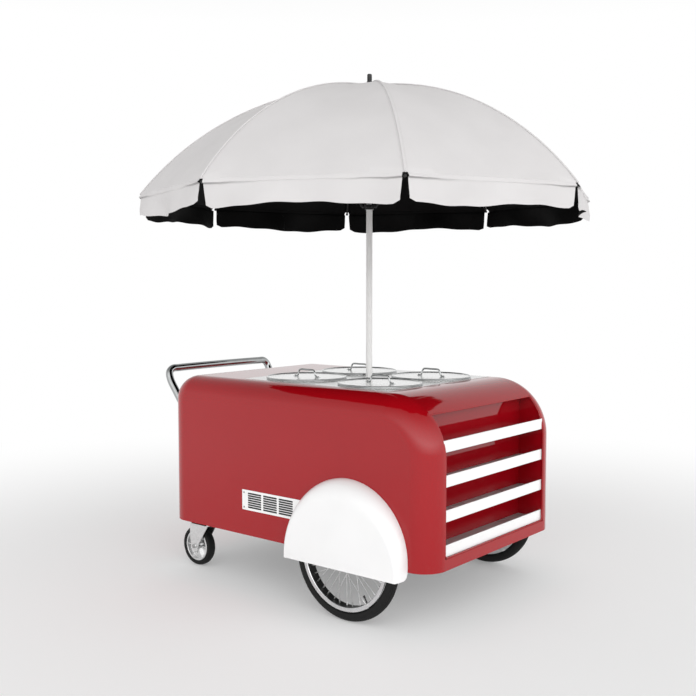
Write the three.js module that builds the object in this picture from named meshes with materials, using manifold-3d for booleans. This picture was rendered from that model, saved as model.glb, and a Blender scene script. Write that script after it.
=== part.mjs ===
// Ice-cream push cart with a parasol. Millimetres, +Z up.
// The origin is on the ground under the parasol mast. +X points to the shelf end, +Y to the far side.
import * as THREE from "three";
import { mergeVertices } from "three/addons/utils/BufferGeometryUtils.js";
import Module from "manifold-3d";

const wasm = await Module();
wasm.setup();

// ---------- driving dimensions ----------
const GAP = 0.3; // clearance between neighbouring pieces

const body = {
  rear: -796, front: 672, half: 490, bottom: 236, top: 904,
  edge: 100, rearArc: 110, frontArc: 245, wall: 4,
};
const opening = { back: 549, half: 389, low: 281, high: 833, liner: 4 };
const shelf = { count: 4, top: 736, pitch: 135, lip: 46, plate: 8, rise: 6, thick: 6, face: 663 };
const worktop = { rear: -408, front: 394, half: 383, thick: 4, lift: 1.2 };
const well = { x: 207, y: 190, hole: 164, tub: 153, flange: 162.5, bore: 156.5, depth: 240, thick: 2 };
const tank = { inset: 12, wall: 20, plate: 6, below: 30, mastBore: 24 };
const lid = { radius: 180, thick: 5, rim: 8, plug: 145, plugDepth: 16 };
const lidHandle = { wire: 4, base: 54, top: 41, foot: 16, height: 30 };
const grille = {
  left: -316, right: 44, low: 348, high: 436, rows: 7, columns: 3,
  slotHigh: 7, slotWide: 81, step: 91.5, margin: 34, face: 2.5,
};
const handle = { tube: 18, half: 345, low: 665, high: 915, reach: -970, flange: 38 };
const wheel = {
  x: 296, y: 521.5, radius: 253, tyre: 24, rim: 211, rimHalf: 23, rimDeep: 16, spokes: 16, spoke: 1.4,
};
const hub = { half: 30, barrel: 14, shoulder: 16, flange: 26, flangeIn: 20, flangeOut: 24 };
const axle = { radius: 10, nut: 15, nutThick: 6, bearingHalf: 30, bearingHigh: 60, bearingY: 445, beam: 18 };
const fender = {
  x: 276, low: 207, depth: 72, wall: 3, lift: 27, liftDeep: 30,
  root: { half: 293, spring: 266, top: 559 }, face: { half: 280, spring: 212, top: 476 },
};
const caster = {
  x: -680, y: 374, trail: 46, radius: 93, half: 22, axle: 6, plateRear: 72, plateFront: 66, plateHalf: 52,
  plateThick: 8, bossRadius: 34, crownLow: 199, crownThick: 8, crownRear: 76, crownFront: 50,
  arm: 4, armGap: 6, bolt: 5.5, nut: 10, tread: 72.5, rim: 71, web: 60, nave: 15,
};
const unit = {
  rear: -420, front: 0, half: 230, tray: 12, coil: 60, coilHigh: 230,
  domeX: -160, domeY: 40, dome: 105, domeHigh: 190,
};
const mast = { radius: 14, foot: 700, top: 2180 };
const parasol = { radius: 1004, arc: 1287, arcZ: 908, ribs: 8, valance: 116, skin: 2.5 };
const linkage = { hub: 30, joint: 440, runner: 1668, rib: 4, drop: 14, bar: 4 };

// ---------- materials ----------
function paint(color, roughness, metalness) {
  return new THREE.MeshStandardMaterial({ color, roughness, metalness });
}
const look = {
  red: paint(0xb03a3e, 0.25, 0), white: paint(0xf2f0f0, 0.35, 0), steel: paint(0xd8d8d6, 0.3, 1),
  chrome: paint(0xb4b6b6, 0.1, 1), rubber: paint(0x2a2a2a, 0.8, 0), zinc: paint(0xbfbfbd, 0.35, 1),
  dark: paint(0x1c1c1c, 0.6, 0), fabric: paint(0xd9d6d6, 0.9, 0), frame: paint(0x55585a, 0.5, 0.6),
};

// ---------- helpers ----------
const cart = new THREE.Group();

function addPiece(name, geometry, material, parent = cart) {
  const mesh = new THREE.Mesh(geometry, material);
  mesh.name = name;
  parent.add(mesh);
  return mesh;
}

function toManifold(geometry) {
  const bare = new THREE.BufferGeometry();
  bare.setAttribute("position", geometry.getAttribute("position").clone());
  if (geometry.index) bare.setIndex(geometry.index.clone());
  const merged = mergeVertices(bare, 1e-4);
  return new wasm.Manifold(new wasm.Mesh({
    numProp: 3,
    vertProperties: new Float32Array(merged.attributes.position.array),
    triVerts: new Uint32Array(merged.index.array),
  }));
}

function toGeometry(solid) {
  const mesh = solid.getMesh();
  const geometry = new THREE.BufferGeometry();
  geometry.setAttribute("position", new THREE.BufferAttribute(new Float32Array(mesh.vertProperties), 3));
  geometry.setIndex(new THREE.BufferAttribute(new Uint32Array(mesh.triVerts), 1));
  geometry.computeVertexNormals();
  return geometry;
}

function block(x0, x1, y0, y1, z0, z1) {
  const geometry = new THREE.BoxGeometry(x1 - x0, y1 - y0, z1 - z0);
  geometry.translate((x0 + x1) / 2, (y0 + y1) / 2, (z0 + z1) / 2);
  return toManifold(geometry);
}

function cylinderZ(x, y, z0, z1, radius, sides = 32) {
  const geometry = new THREE.CylinderGeometry(radius, radius, z1 - z0, sides);
  geometry.rotateX(Math.PI / 2);
  geometry.translate(x, y, (z0 + z1) / 2);
  return toManifold(geometry);
}

function cylinderY(x, z, y0, y1, radius, sides = 24) {
  const geometry = new THREE.CylinderGeometry(radius, radius, y1 - y0, sides);
  geometry.translate(x, (y0 + y1) / 2, z);
  return toManifold(geometry);
}

// A ring or disc turned about +Z from [radius, height] points.
function turnedZ(points, sides, x = 0, y = 0, z = 0) {
  const geometry = new THREE.LatheGeometry(points.map(([r, h]) => new THREE.Vector2(r, h)), sides);
  geometry.rotateX(Math.PI / 2);
  geometry.translate(x, y, z);
  return geometry;
}

// A ring or disc turned about the Y axis from [radius, offset] points.
function turnedY(points, sides) {
  return new THREE.LatheGeometry(points.map(([r, h]) => new THREE.Vector2(r, h)), sides);
}

// A profile that doesn't touch the axis ends where it starts.
function closed(points) {
  return [...points, points[0]];
}

// A plate drawn in X and Z and pushed out along +Y from y0 to y1.
function plateXZ(shape, y0, y1, curveSegments = 12) {
  const geometry = new THREE.ExtrudeGeometry(shape, { depth: y1 - y0, bevelEnabled: false, curveSegments });
  geometry.rotateX(Math.PI / 2);
  geometry.translate(0, y1, 0);
  return toManifold(geometry);
}

// A plate drawn in X and Y and pushed up from z0 to z1.
function plateXY(shape, z0, z1, curveSegments = 6) {
  const geometry = new THREE.ExtrudeGeometry(shape, { depth: z1 - z0, bevelEnabled: false, curveSegments });
  geometry.translate(0, 0, z0);
  return toManifold(geometry);
}

function roundedRectangle(x0, x1, y0, y1, radius) {
  const shape = new THREE.Shape();
  shape.moveTo(x0 + radius, y0);
  shape.lineTo(x1 - radius, y0);
  shape.absarc(x1 - radius, y0 + radius, radius, -Math.PI / 2, 0, false);
  shape.absarc(x1 - radius, y1 - radius, radius, 0, Math.PI / 2, false);
  shape.absarc(x0 + radius, y1 - radius, radius, Math.PI / 2, Math.PI, false);
  shape.absarc(x0 + radius, y0 + radius, radius, Math.PI, Math.PI * 1.5, false);
  return shape;
}

function circleSection(radius, sides) {
  const shape = new THREE.Shape();
  for (let i = 0; i < sides; i += 1) {
    const angle = (i / sides) * Math.PI * 2;
    if (i === 0) shape.moveTo(radius, 0);
    else shape.lineTo(radius * Math.cos(angle), radius * Math.sin(angle));
  }
  return shape;
}

function tubeAlong(curve, radius, sides, steps) {
  return toManifold(new THREE.ExtrudeGeometry(circleSection(radius, sides), { steps, extrudePath: curve }));
}

const floorTop = body.bottom + 4.5; // top face of the floor plate

// ---------- body: a side outline whose two long edges are rounded all the way round ----------
function sideOutline(inset, shrink, arcSteps) {
  const points = [new THREE.Vector2(body.rear + shrink + inset, body.bottom)];
  const corners = [
    [body.rear + body.rearArc, body.rearArc, Math.PI, Math.PI / 2],
    [body.front - body.frontArc, body.frontArc, Math.PI / 2, 0],
  ];
  for (const [centreX, arc, from, to] of corners) {
    const radius = arc - shrink - inset;
    for (let i = 0; i <= arcSteps; i += 1) {
      const angle = from + ((to - from) * i) / arcSteps;
      const z = body.top - arc + radius * Math.sin(angle);
      points.push(new THREE.Vector2(centreX + radius * Math.cos(angle), z));
    }
  }
  points.push(new THREE.Vector2(body.front - shrink - inset, body.bottom));
  return points;
}

function roundedBody(shrink, arcSteps, floor) {
  const flat = body.half - body.edge;
  const radius = body.edge - shrink;
  const stations = [];
  for (let i = 0; i <= arcSteps; i += 1) {
    const angle = (Math.PI / 2) * (1 - i / arcSteps);
    stations.push([flat + radius * Math.sin(angle), radius * (1 - Math.cos(angle))]);
  }
  const rings = [
    ...stations.map(([y, inset]) => [-y, inset]),
    ...stations.reverse(),
  ].map(([y, inset]) => sideOutline(inset, shrink, arcSteps)
    .map((p) => [p.x, y, p.y === body.bottom ? floor : p.y]));
  return loft(rings);
}

// Joins equal closed rings of points, listed along +Y, into one closed solid.
function loft(rings) {
  const size = rings[0].length;
  const positions = rings.flat(2);
  const index = [];
  for (let r = 0; r + 1 < rings.length; r += 1) {
    for (let i = 0; i < size; i += 1) {
      const a = r * size + i;
      const b = r * size + ((i + 1) % size);
      index.push(a, b, a + size, b, b + size, a + size);
    }
  }
  const last = (rings.length - 1) * size;
  for (let i = 1; i + 1 < size; i += 1) {
    index.push(0, i + 1, i, last, last + i, last + i + 1);
  }
  return indexedSolid(positions, index);
}

function indexedSolid(positions, index) {
  const geometry = new THREE.BufferGeometry();
  geometry.setAttribute("position", new THREE.BufferAttribute(new Float32Array(positions), 3));
  geometry.setIndex(index);
  const solid = toManifold(geometry);
  if (solid.volume() <= 0) throw new Error("inside out");
  return solid;
}

function makeBody() {
  const wall = body.wall;
  const cutDepth = 15; // past the wall on both sides
  let shell = roundedBody(0, 6, body.bottom).subtract(roundedBody(wall, 5, body.bottom - 20));
  shell = shell.subtract(block(opening.back - 30, body.front + 20, -opening.half, opening.half,
    opening.low, opening.high));
  shell = shell.subtract(block(worktop.rear - GAP, worktop.front + GAP, -worktop.half - GAP,
    worktop.half + GAP, body.top - 20, body.top + 20));
  for (const side of [-1, 1]) { // axle slot and air vent
    const low = side * body.half - cutDepth;
    const high = side * body.half + cutDepth;
    shell = shell.subtract(block(wheel.x - axle.radius - 3, wheel.x + axle.radius + 3, low, high,
      body.bottom - 10, wheel.radius + axle.radius + 3));
    const vent = grille.left + grille.margin;
    shell = shell.subtract(block(vent - 6, vent - 4 + grille.columns * grille.step, low, high,
      grille.low + 8, grille.high - 8));
  }
  addPiece("body_shell", toGeometry(shell), look.red);

  const inset = wall + 1.5;
  const floorPlate = plateXY(roundedRectangle(body.rear + inset, body.front - inset,
    -body.half + inset, body.half - inset, body.edge - inset), body.bottom + 0.5, floorTop);
  addPiece("chassis", toGeometry(floorPlate.add(axleCarrier())), look.frame);

  const skin = opening.liner;
  const liner = block(opening.back - skin, body.front + 10, -opening.half - skin, opening.half + skin,
    opening.low - skin, opening.high + skin)
    .subtract(block(opening.back, body.front + 20, -opening.half, opening.half, opening.low, opening.high))
    .intersect(roundedBody(wall + 1, 5, body.bottom));
  addPiece("display_liner", toGeometry(liner), look.red);
}

function makeShelves() {
  for (let i = 0; i < shelf.count; i += 1) {
    const top = shelf.top - i * shelf.pitch;
    const low = top - shelf.lip;
    const inside = shelf.face - shelf.thick;
    const [under, over] = [low + shelf.rise, low + shelf.rise + shelf.plate];
    const outline = new THREE.Shape([
      [opening.back + 1, under], [inside, under], [inside, low], [shelf.face, low],
      [shelf.face, top], [inside, top], [inside, over], [opening.back + 1, over],
    ].map(([x, z]) => new THREE.Vector2(x, z)));
    const half = opening.half - 1;
    addPiece(`shelf_${i + 1}`, toGeometry(plateXZ(outline, -half, half)), look.white);
  }
}

const wellPlaces = [[-1, -1], [1, -1], [-1, 1], [1, 1]].map(([sx, sy]) => [sx * well.x, sy * well.y]);
const deck = body.top + worktop.lift; // top face of the worktop
const tubSides = 16;

function makeWorktop() {
  const outline = roundedRectangle(worktop.rear, worktop.front, -worktop.half, worktop.half, 6);
  let plate = plateXY(outline, deck - worktop.thick, deck);
  for (const [x, y] of wellPlaces) plate = plate.subtract(cylinderZ(x, y, 0, 1000, well.hole, 24));
  plate = plate.subtract(cylinderZ(0, 0, 0, 1000, mast.radius + 8, 20));
  addPiece("worktop", toGeometry(plate), look.steel);

  addPiece("cold_tank", toGeometry(tankSolid()), look.white);
  wellPlaces.forEach(([x, y], i) => {
    const seat = tankTop + 2 * GAP;
    const rimTop = seat + well.thick + GAP * 2;
    const low = deck - well.depth;
    const tub = turnedZ([
      [0, low], [well.tub, low], [well.tub, seat], [well.flange, seat],
      [well.flange, rimTop], [well.tub - well.thick, rimTop], [well.tub - well.thick, low + 3], [0, low + 3],
    ], tubSides, x, y);
    addPiece(`tub_${i + 1}`, toGeometry(toManifold(tub)), look.steel);
  });
}

// An insulated box under the worktop. Its top plate has a hole for each tub and one for the mast.
const tankTop = deck - worktop.thick - GAP - 4;

function tankSolid() {
  const low = deck - well.depth - tank.below;
  const x0 = worktop.rear + tank.inset;
  const x1 = worktop.front - tank.inset;
  const half = worktop.half - tank.inset;
  const { wall } = tank;
  let box = block(x0, x1, -half, half, low, tankTop)
    .subtract(block(x0 + wall, x1 - wall, -half + wall, half - wall, low + wall, tankTop - tank.plate));
  for (const [x, y] of wellPlaces) {
    box = box.subtract(cylinderZ(x, y, low + wall, 1000, well.bore / Math.cos(Math.PI / tubSides), tubSides));
  }
  return box.subtract(cylinderZ(0, 0, low + wall, 1000, tank.mastBore, 20));
}

function lidProfile() {
  const low = deck + GAP;
  return [
    [0, low], [lid.plug - 4, low], [lid.plug - 4, low - lid.plugDepth], [lid.plug, low - lid.plugDepth],
    [lid.plug, low], [lid.radius, low], [lid.radius, low + lid.rim], [lid.radius - 6, low + lid.rim],
    [lid.radius - 8, low + lid.thick],
    [0, low + lid.thick],
  ];
}

function makeLids() {
  wellPlaces.forEach(([x, y], i) => {
    const disc = toManifold(turnedZ(lidProfile(), 26, x, y));
    const base = deck + GAP + lid.thick + lidHandle.wire * 0.6;
    const { base: b, top: t, height: h, foot: f } = lidHandle;
    const points = [[-b - f, 0], [-b - 4, 0], [-b + 2, 6], [-t - 6, h - 10], [-t, h - 2], [-t + 8, h],
      [t - 8, h], [t, h - 2], [t + 6, h - 10], [b - 2, 6], [b + 4, 0], [b + f, 0]];
    const places = points.map(([dx, dz]) => new THREE.Vector3(x + dx, y, base + dz));
    const curve = new THREE.CatmullRomCurve3(places, false, "centripetal");
    addPiece(`lid_${i + 1}`, toGeometry(disc.add(tubeAlong(curve, lidHandle.wire, 5, 14))), look.steel);
  });
}

function makeGrille() {
  const face = -body.half - grille.face;
  const outline = roundedRectangle(grille.left, grille.right, grille.low, grille.high, 4);
  let panel = plateXZ(outline, face, -body.half - GAP, 3);
  const behindFender = [face - 5, -body.half + 5].map((y) => fenderRing(0, -1, y, fender.low, 24));
  panel = panel.subtract(loft(behindFender));
  const left = grille.left + grille.margin;
  const slotPitch = (grille.high - grille.low - 18) / grille.rows;
  for (let column = 0; column < grille.columns; column += 1) {
    for (let row = 0; row < grille.rows; row += 1) {
      const x = left + column * grille.step;
      const z = grille.low + 9 + (row + 0.5) * slotPitch;
      panel = panel.subtract(block(x, x + grille.slotWide, face - 5, -body.half + 5,
        z - grille.slotHigh / 2, z + grille.slotHigh / 2));
    }
  }
  const geometry = toGeometry(panel);
  addPiece("vent_grille_right", geometry, look.white);
  addPiece("vent_grille_left", mirrorY(geometry), look.white);
}

function makeHandle() {
  const { half, low, high, reach, tube } = handle;
  const start = body.rear - 6;
  const side = [
    [start, half, low], [-850, half, 728], [-911, half, 806], [-953, half, 864],
    [reach + 3, half - 7, 897], [reach, half - 28, high - 2], [reach, half - 70, high],
  ];
  const far = side.map(([x, y, z]) => new THREE.Vector3(x, y, z));
  const near = side.map(([x, y, z]) => new THREE.Vector3(x, -y, z)).reverse();
  const curve = new THREE.CatmullRomCurve3([...far, ...near], false, "centripetal");
  let grip = tubeAlong(curve, tube, 8, 28);
  for (const sign of [-1, 1]) {
    const disc = new THREE.CylinderGeometry(handle.flange, handle.flange, 8, 16);
    disc.rotateZ(Math.PI / 2);
    disc.translate(body.rear - GAP - 4, sign * half, low + 2);
    grip = grip.add(toManifold(disc));
  }
  grip = grip.subtract(block(body.rear - GAP, 0, -600, 600, 400, 1100));
  addPiece("push_handle", toGeometry(grip), look.chrome);
}

// A fender runs from a tall arch on the body (blend 0) out to a lower arch on its flat face (blend 1).
function fenderRing(blend, inset, y, floor, arcSteps) {
  const { root, face } = fender;
  const half = root.half + (face.half - root.half) * blend - inset;
  const spring = root.spring + (face.spring - root.spring) * blend;
  const rise = root.top + (face.top - root.top) * blend - inset - spring;
  const points = [[fender.x - half, y, floor]];
  for (let i = 0; i <= arcSteps; i += 1) {
    const angle = Math.PI * (1 - i / arcSteps);
    points.push([fender.x + half * Math.cos(angle), y, spring + rise * Math.sin(angle)]);
  }
  points.push([fender.x + half, y, floor]);
  return points;
}

function fenderDome(inset, arcSteps, edgeSteps, floor) {
  const foot = body.half + GAP;
  const rings = inset > 0 ? [fenderRing(0, inset, foot - 5, floor, arcSteps)] : [];
  for (let i = 0; i <= edgeSteps; i += 1) {
    const angle = (Math.PI / 2) * (i / edgeSteps);
    const y = foot + (fender.depth - inset) * Math.sin(angle);
    rings.push(fenderRing(1 - Math.cos(angle), inset, y, floor, arcSteps));
  }
  return loft(rings);
}

// The lower edge curves up towards the body and meets it at the bottom of the shell.
function fenderLift() {
  const foot = body.half + GAP;
  const outline = [[foot + fender.liftDeep, fender.low - 5]];
  for (let i = 0; i <= 4; i += 1) {
    const angle = (Math.PI / 2) * (i / 4);
    outline.push([foot + fender.liftDeep * (1 - Math.sin(angle)),
      fender.low + fender.lift * (1 - Math.cos(angle))]);
  }
  outline.push([foot - 2, fender.low + fender.lift], [foot - 2, fender.low - 5]);
  const ends = [fender.x - fender.root.half - 20, fender.x + fender.root.half + 20];
  return loft(ends.map((x) => outline.map(([y, z]) => [x, y, z])));
}

function makeFenders() {
  const shell = fenderDome(0, 20, 6, fender.low)
    .subtract(fenderDome(fender.wall, 20, 6, fender.low - 20))
    .subtract(fenderLift());
  const geometry = toGeometry(shell);
  addPiece("fender_left", geometry, look.white);
  addPiece("fender_right", mirrorY(geometry), look.white);
}

function mirrorY(geometry) {
  const flipped = geometry.clone();
  flipped.scale(1, -1, 1);
  const index = flipped.index.array.slice();
  for (let i = 0; i < index.length; i += 3) [index[i], index[i + 2]] = [index[i + 2], index[i]];
  flipped.setIndex(new THREE.BufferAttribute(index, 1));
  return flipped;
}

// ---------- spoked wheels ----------
function tyreProfile(centre, radius, innerRadius) {
  const points = [];
  for (let i = 0; i < 7; i += 1) {
    const angle = -Math.PI / 2 + (i / 6) * Math.PI;
    points.push([centre + radius * Math.cos(angle), radius * Math.sin(angle)]);
  }
  points.push([innerRadius, radius * 0.62], [innerRadius, -radius * 0.62]);
  return [...points, points[0]];
}

function spokeBetween(from, to, radius) {
  const length = from.distanceTo(to);
  const geometry = new THREE.CylinderGeometry(radius, radius, length, 3);
  geometry.translate(0, length / 2, 0);
  const direction = to.clone().sub(from).normalize();
  geometry.applyQuaternion(new THREE.Quaternion().setFromUnitVectors(new THREE.Vector3(0, 1, 0), direction));
  geometry.translate(from.x, from.y, from.z);
  return toManifold(geometry);
}

function makeWheels() {
  const { rim, rimHalf, rimDeep } = wheel;
  const tyre = turnedY(tyreProfile(wheel.radius - wheel.tyre, wheel.tyre, rim + 2.6), 32);
  const rimRing = turnedY(closed([
    [rim, -rimHalf], [rim, -18], [rim - 8, -6], [rim - 8, 6], [rim, 18],
    [rim, rimHalf], [rim - 14, 21], [rim - rimDeep, 0], [rim - 14, -21],
  ]), 32);
  const bore = axle.radius + 0.6;
  const { half, barrel, shoulder, flange, flangeIn, flangeOut } = hub;
  const hubOuter = turnedY(closed([
    [bore, -half], [shoulder, -half], [shoulder, -flangeOut], [flange, -flangeOut], [flange, -flangeIn],
    [barrel, -barrel - 2], [barrel, barrel + 2], [flange, flangeIn], [flange, flangeOut],
    [shoulder, flangeOut], [shoulder, half], [bore, half],
  ]), 14);
  let spider = toManifold(hubOuter);
  const root = (flangeIn + flangeOut) / 2;
  const reach = rim - rimDeep - 1.2;
  for (let i = 0; i < wheel.spokes; i += 1) {
    const side = i % 2 === 0 ? -1 : 1;
    const lean = Math.floor(i / 2) % 2 === 0 ? 0.9 : -0.9;
    const angle = (i / wheel.spokes) * Math.PI * 2;
    const foot = angle + lean;
    const start = new THREE.Vector3(root * Math.cos(foot), side * root, root * Math.sin(foot));
    const end = new THREE.Vector3(reach * Math.cos(angle), side * 3, reach * Math.sin(angle));
    spider = spider.add(spokeBetween(start, end, wheel.spoke));
  }
  const hubGeometry = toGeometry(spider);
  for (const [name, side] of [["right", -1], ["left", 1]]) {
    const place = (geometry) => geometry.clone().translate(wheel.x, side * wheel.y, wheel.radius);
    addPiece(`tyre_${name}`, place(toGeometry(toManifold(tyre))), look.rubber);
    addPiece(`rim_${name}`, place(toGeometry(toManifold(rimRing))), look.zinc);
    addPiece(`hub_spokes_${name}`, place(hubGeometry), look.zinc);
  }
  const inner = wheel.y + half + 1;
  const outer = inner + axle.nutThick;
  const shaft = cylinderY(wheel.x, wheel.radius, -outer, outer, axle.radius, 16)
    .add(cylinderY(wheel.x, wheel.radius, -outer, -inner, axle.nut, 6))
    .add(cylinderY(wheel.x, wheel.radius, inner, outer, axle.nut, 6));
  addPiece("axle", toGeometry(shaft), look.zinc);
}

// Two bearing blocks on the floor of the cart, tied by a beam over the axle.
function axleCarrier() {
  const base = body.bottom + 2;
  const top = base + axle.bearingHigh;
  const x0 = wheel.x - axle.bearingHalf;
  const x1 = wheel.x + axle.bearingHalf;
  let carrier = block(x0, x1, -axle.bearingY, axle.bearingY, top - axle.beam, top);
  for (const side of [-1, 1]) {
    const y = side * axle.bearingY;
    carrier = carrier.add(block(x0, x1, y - 15, y + 15, base, top));
  }
  return carrier.subtract(cylinderY(wheel.x, wheel.radius, -500, 500, axle.radius + 0.6, 16));
}

// The refrigeration unit on the cart's floor: a compressor dome, a finned condenser and their tray.
function makeCondensingUnit() {
  const floor = floorTop + GAP;
  const rear = unit.rear + 20;
  const coilHalf = unit.half - 30;
  const assembly = block(unit.rear, unit.front, -unit.half, unit.half, floor, floor + unit.tray)
    .add(block(rear, rear + unit.coil, -coilHalf, coilHalf, floor, floor + unit.coilHigh))
    .add(cylinderZ(unit.domeX, unit.domeY, floor, floor + unit.domeHigh, unit.dome, 20));
  addPiece("condensing_unit", toGeometry(assembly), look.dark);
}

// ---------- casters ----------
const plateTop = body.bottom - GAP;
const wheelX = caster.x - caster.trail;

function casterPlate(y) {
  const bossLow = plateTop - 2 * caster.plateThick;
  let plate = block(caster.x - caster.plateRear, caster.x + caster.plateFront, y - caster.plateHalf,
    y + caster.plateHalf, plateTop - caster.plateThick, plateTop);
  plate = plate.add(cylinderZ(caster.x, y, bossLow, plateTop, caster.bossRadius, 16));
  for (const [dx, dy] of [[-54, -36], [48, -36], [-54, 36], [48, 36]]) {
    plate = plate.subtract(cylinderZ(caster.x + dx, y + dy, bossLow, plateTop + 5, caster.bolt, 6));
  }
  return plate;
}

function casterFork(y) {
  const armIn = caster.half + caster.armGap;
  const armOut = armIn + caster.arm;
  const rear = caster.x - caster.crownRear;
  const front = caster.x + caster.crownFront;
  const crownTop = caster.crownLow + caster.crownThick;
  const arm = new THREE.Shape([
    [rear, crownTop], [rear, 140], [wheelX - 15, 84], [wheelX - 6, 72],
    [wheelX + 6, 72], [wheelX + 18, 88], [front, crownTop],
  ].map(([x, z]) => new THREE.Vector2(x, z)));
  const bossTop = plateTop - 2 * caster.plateThick - GAP;
  return block(rear, front, y - armOut, y + armOut, caster.crownLow, crownTop)
    .add(plateXZ(arm, y - armOut, y - armIn))
    .add(plateXZ(arm, y + armIn, y + armOut))
    .add(cylinderZ(caster.x, y, caster.crownLow, bossTop, caster.bossRadius + 3, 16))
    .add(cylinderY(wheelX, caster.radius, y - armOut - 7, y + armOut + 7, caster.axle, 12))
    .add(cylinderY(wheelX, caster.radius, y - armOut - 8, y - armOut - 1, caster.nut, 6))
    .add(cylinderY(wheelX, caster.radius, y + armOut + 1, y + armOut + 8, caster.nut, 6));
}

function casterCore() {
  const { nave, web, rim, half } = caster;
  const bore = caster.axle + 0.5;
  return turnedY(closed([
    [bore, -half - 2], [nave, -half - 2], [nave, -8], [web, -8], [web + 4, -19], [rim, -19], [rim, 19],
    [web + 4, 19], [web, 8], [nave, 8], [nave, half + 2], [bore, half + 2],
  ]), 16);
}

function casterTread() {
  const { tread, half, radius } = caster;
  return turnedY(closed([
    [tread, -half], [radius - 7, -half], [radius, -13], [radius, 13], [radius - 7, half], [tread, half],
  ]), 24);
}

function makeCasters() {
  for (const [name, side] of [["right", -1], ["left", 1]]) {
    const y = side * caster.y;
    const place = (geometry) => toGeometry(toManifold(geometry)).translate(wheelX, y, caster.radius);
    addPiece(`caster_plate_${name}`, toGeometry(casterPlate(y)), look.zinc);
    addPiece(`caster_fork_${name}`, toGeometry(casterFork(y)), look.zinc);
    addPiece(`caster_wheel_${name}`, place(casterCore()), look.zinc);
    addPiece(`caster_tyre_${name}`, place(casterTread()), look.rubber);
  }
}

// ---------- parasol ----------
const domeZ = (r, drop) => parasol.arcZ + Math.sqrt((parasol.arc - drop) ** 2 - r * r);

function makeMast() {
  addPiece("parasol_mast", toGeometry(cylinderZ(0, 0, mast.foot, mast.top, mast.radius, 16)), look.white);

  const socketTop = deck + 0.3;
  const socket = turnedZ([
    [0, mast.foot - 8], [mast.radius + 6, mast.foot - 8], [mast.radius + 6, socketTop],
    [mast.radius + 18, socketTop], [mast.radius + 18, socketTop + 3], [mast.radius + GAP, socketTop + 3],
    [mast.radius + GAP, mast.foot - GAP], [0, mast.foot - GAP],
  ], 20);
  addPiece("mast_socket", toGeometry(toManifold(socket)), look.steel);

  const hubLow = domeZ(linkage.hub, linkage.drop) - 12;
  const bore = cylinderZ(0, 0, hubLow - 5, mast.top + 0.4, mast.radius + GAP, 16);
  const crown = cylinderZ(0, 0, hubLow, mast.top + 9, 22, 16).subtract(bore);
  addPiece("parasol_crown", toGeometry(crown), look.dark);

  const cap = domeZ(0, 0) + 1;
  const finial = turnedZ([[0, cap], [24, cap], [24, cap + 3], [12, cap + 14], [8, cap + 26], [9, cap + 44],
    [6, cap + 52], [0, cap + 54]], 16);
  addPiece("parasol_finial", toGeometry(toManifold(finial)), look.dark);

  const r = mast.radius + 0.5;
  const z = linkage.runner;
  const runner = turnedZ(closed([
    [r, z - 12], [r + 6, z - 12], [r + 6, z - 4], [r + 10, z - 4], [r + 10, z + 8], [r, z + 8],
  ]), 16);
  addPiece("parasol_runner", toGeometry(toManifold(runner)), look.dark);
}

// Ribs and stretchers lie side by side in each radial plane; both are drawn along +X and turned.
function makeRibs() {
  const w = linkage.rib;
  const ribSteps = 9;
  const from = linkage.hub;
  const to = parasol.radius - 8;
  const outline = new THREE.Shape();
  for (let i = 0; i <= ribSteps; i += 1) {
    const x = from + ((to - from) * i) / ribSteps;
    if (i === 0) outline.moveTo(x, domeZ(x, linkage.drop - 4));
    else outline.lineTo(x, domeZ(x, linkage.drop - 4));
  }
  for (let i = ribSteps; i >= 0; i -= 1) {
    const x = from + ((to - from) * i) / ribSteps;
    outline.lineTo(x, domeZ(x, linkage.drop + 4));
  }
  outline.closePath();
  const ribGeometry = toGeometry(plateXZ(outline, -w, w));

  const start = new THREE.Vector2(linkage.hub, linkage.runner);
  const end = new THREE.Vector2(linkage.joint, domeZ(linkage.joint, linkage.drop + 2));
  const along = end.clone().sub(start).normalize();
  const side = new THREE.Vector2(-along.y, along.x).multiplyScalar(linkage.bar);
  const bar = new THREE.Shape([
    start.clone().add(side), start.clone().sub(side), end.clone().sub(side), end.clone().add(side),
  ]);
  const stretcherGeometry = toGeometry(plateXZ(bar, w + 1, w + 1 + linkage.bar));

  for (let i = 0; i < parasol.ribs; i += 1) {
    const turn = (i / parasol.ribs) * Math.PI * 2;
    addPiece(`rib_${i + 1}`, ribGeometry.clone().rotateZ(turn), look.dark);
    addPiece(`stretcher_${i + 1}`, stretcherGeometry.clone().rotateZ(turn), look.dark);
  }
}

// The canopy is a skin stretched straight from rib to rib, ending in a hanging valance.
function chordShare(angle) {
  const sector = (Math.PI * 2) / parasol.ribs;
  const across = ((angle % sector) + sector) % sector - sector / 2;
  return Math.cos(sector / 2) / Math.cos(across);
}

function canopySurface(offset, rings, sides) {
  const rows = [];
  const steepest = Math.asin(parasol.radius / parasol.arc);
  for (let j = 0; j <= rings; j += 1) {
    const share = Math.max(0.02, Math.sin((steepest * j) / rings) / Math.sin(steepest));
    rows.push({ r: share * (parasol.radius - offset), z: domeZ(share * parasol.radius, offset) });
  }
  return rows.map(({ r, z }) => Array.from({ length: sides }, (_, i) => {
    const angle = (i / sides) * Math.PI * 2;
    const radius = r * chordShare(angle);
    return [radius * Math.cos(angle), radius * Math.sin(angle), z];
  }));
}

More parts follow.
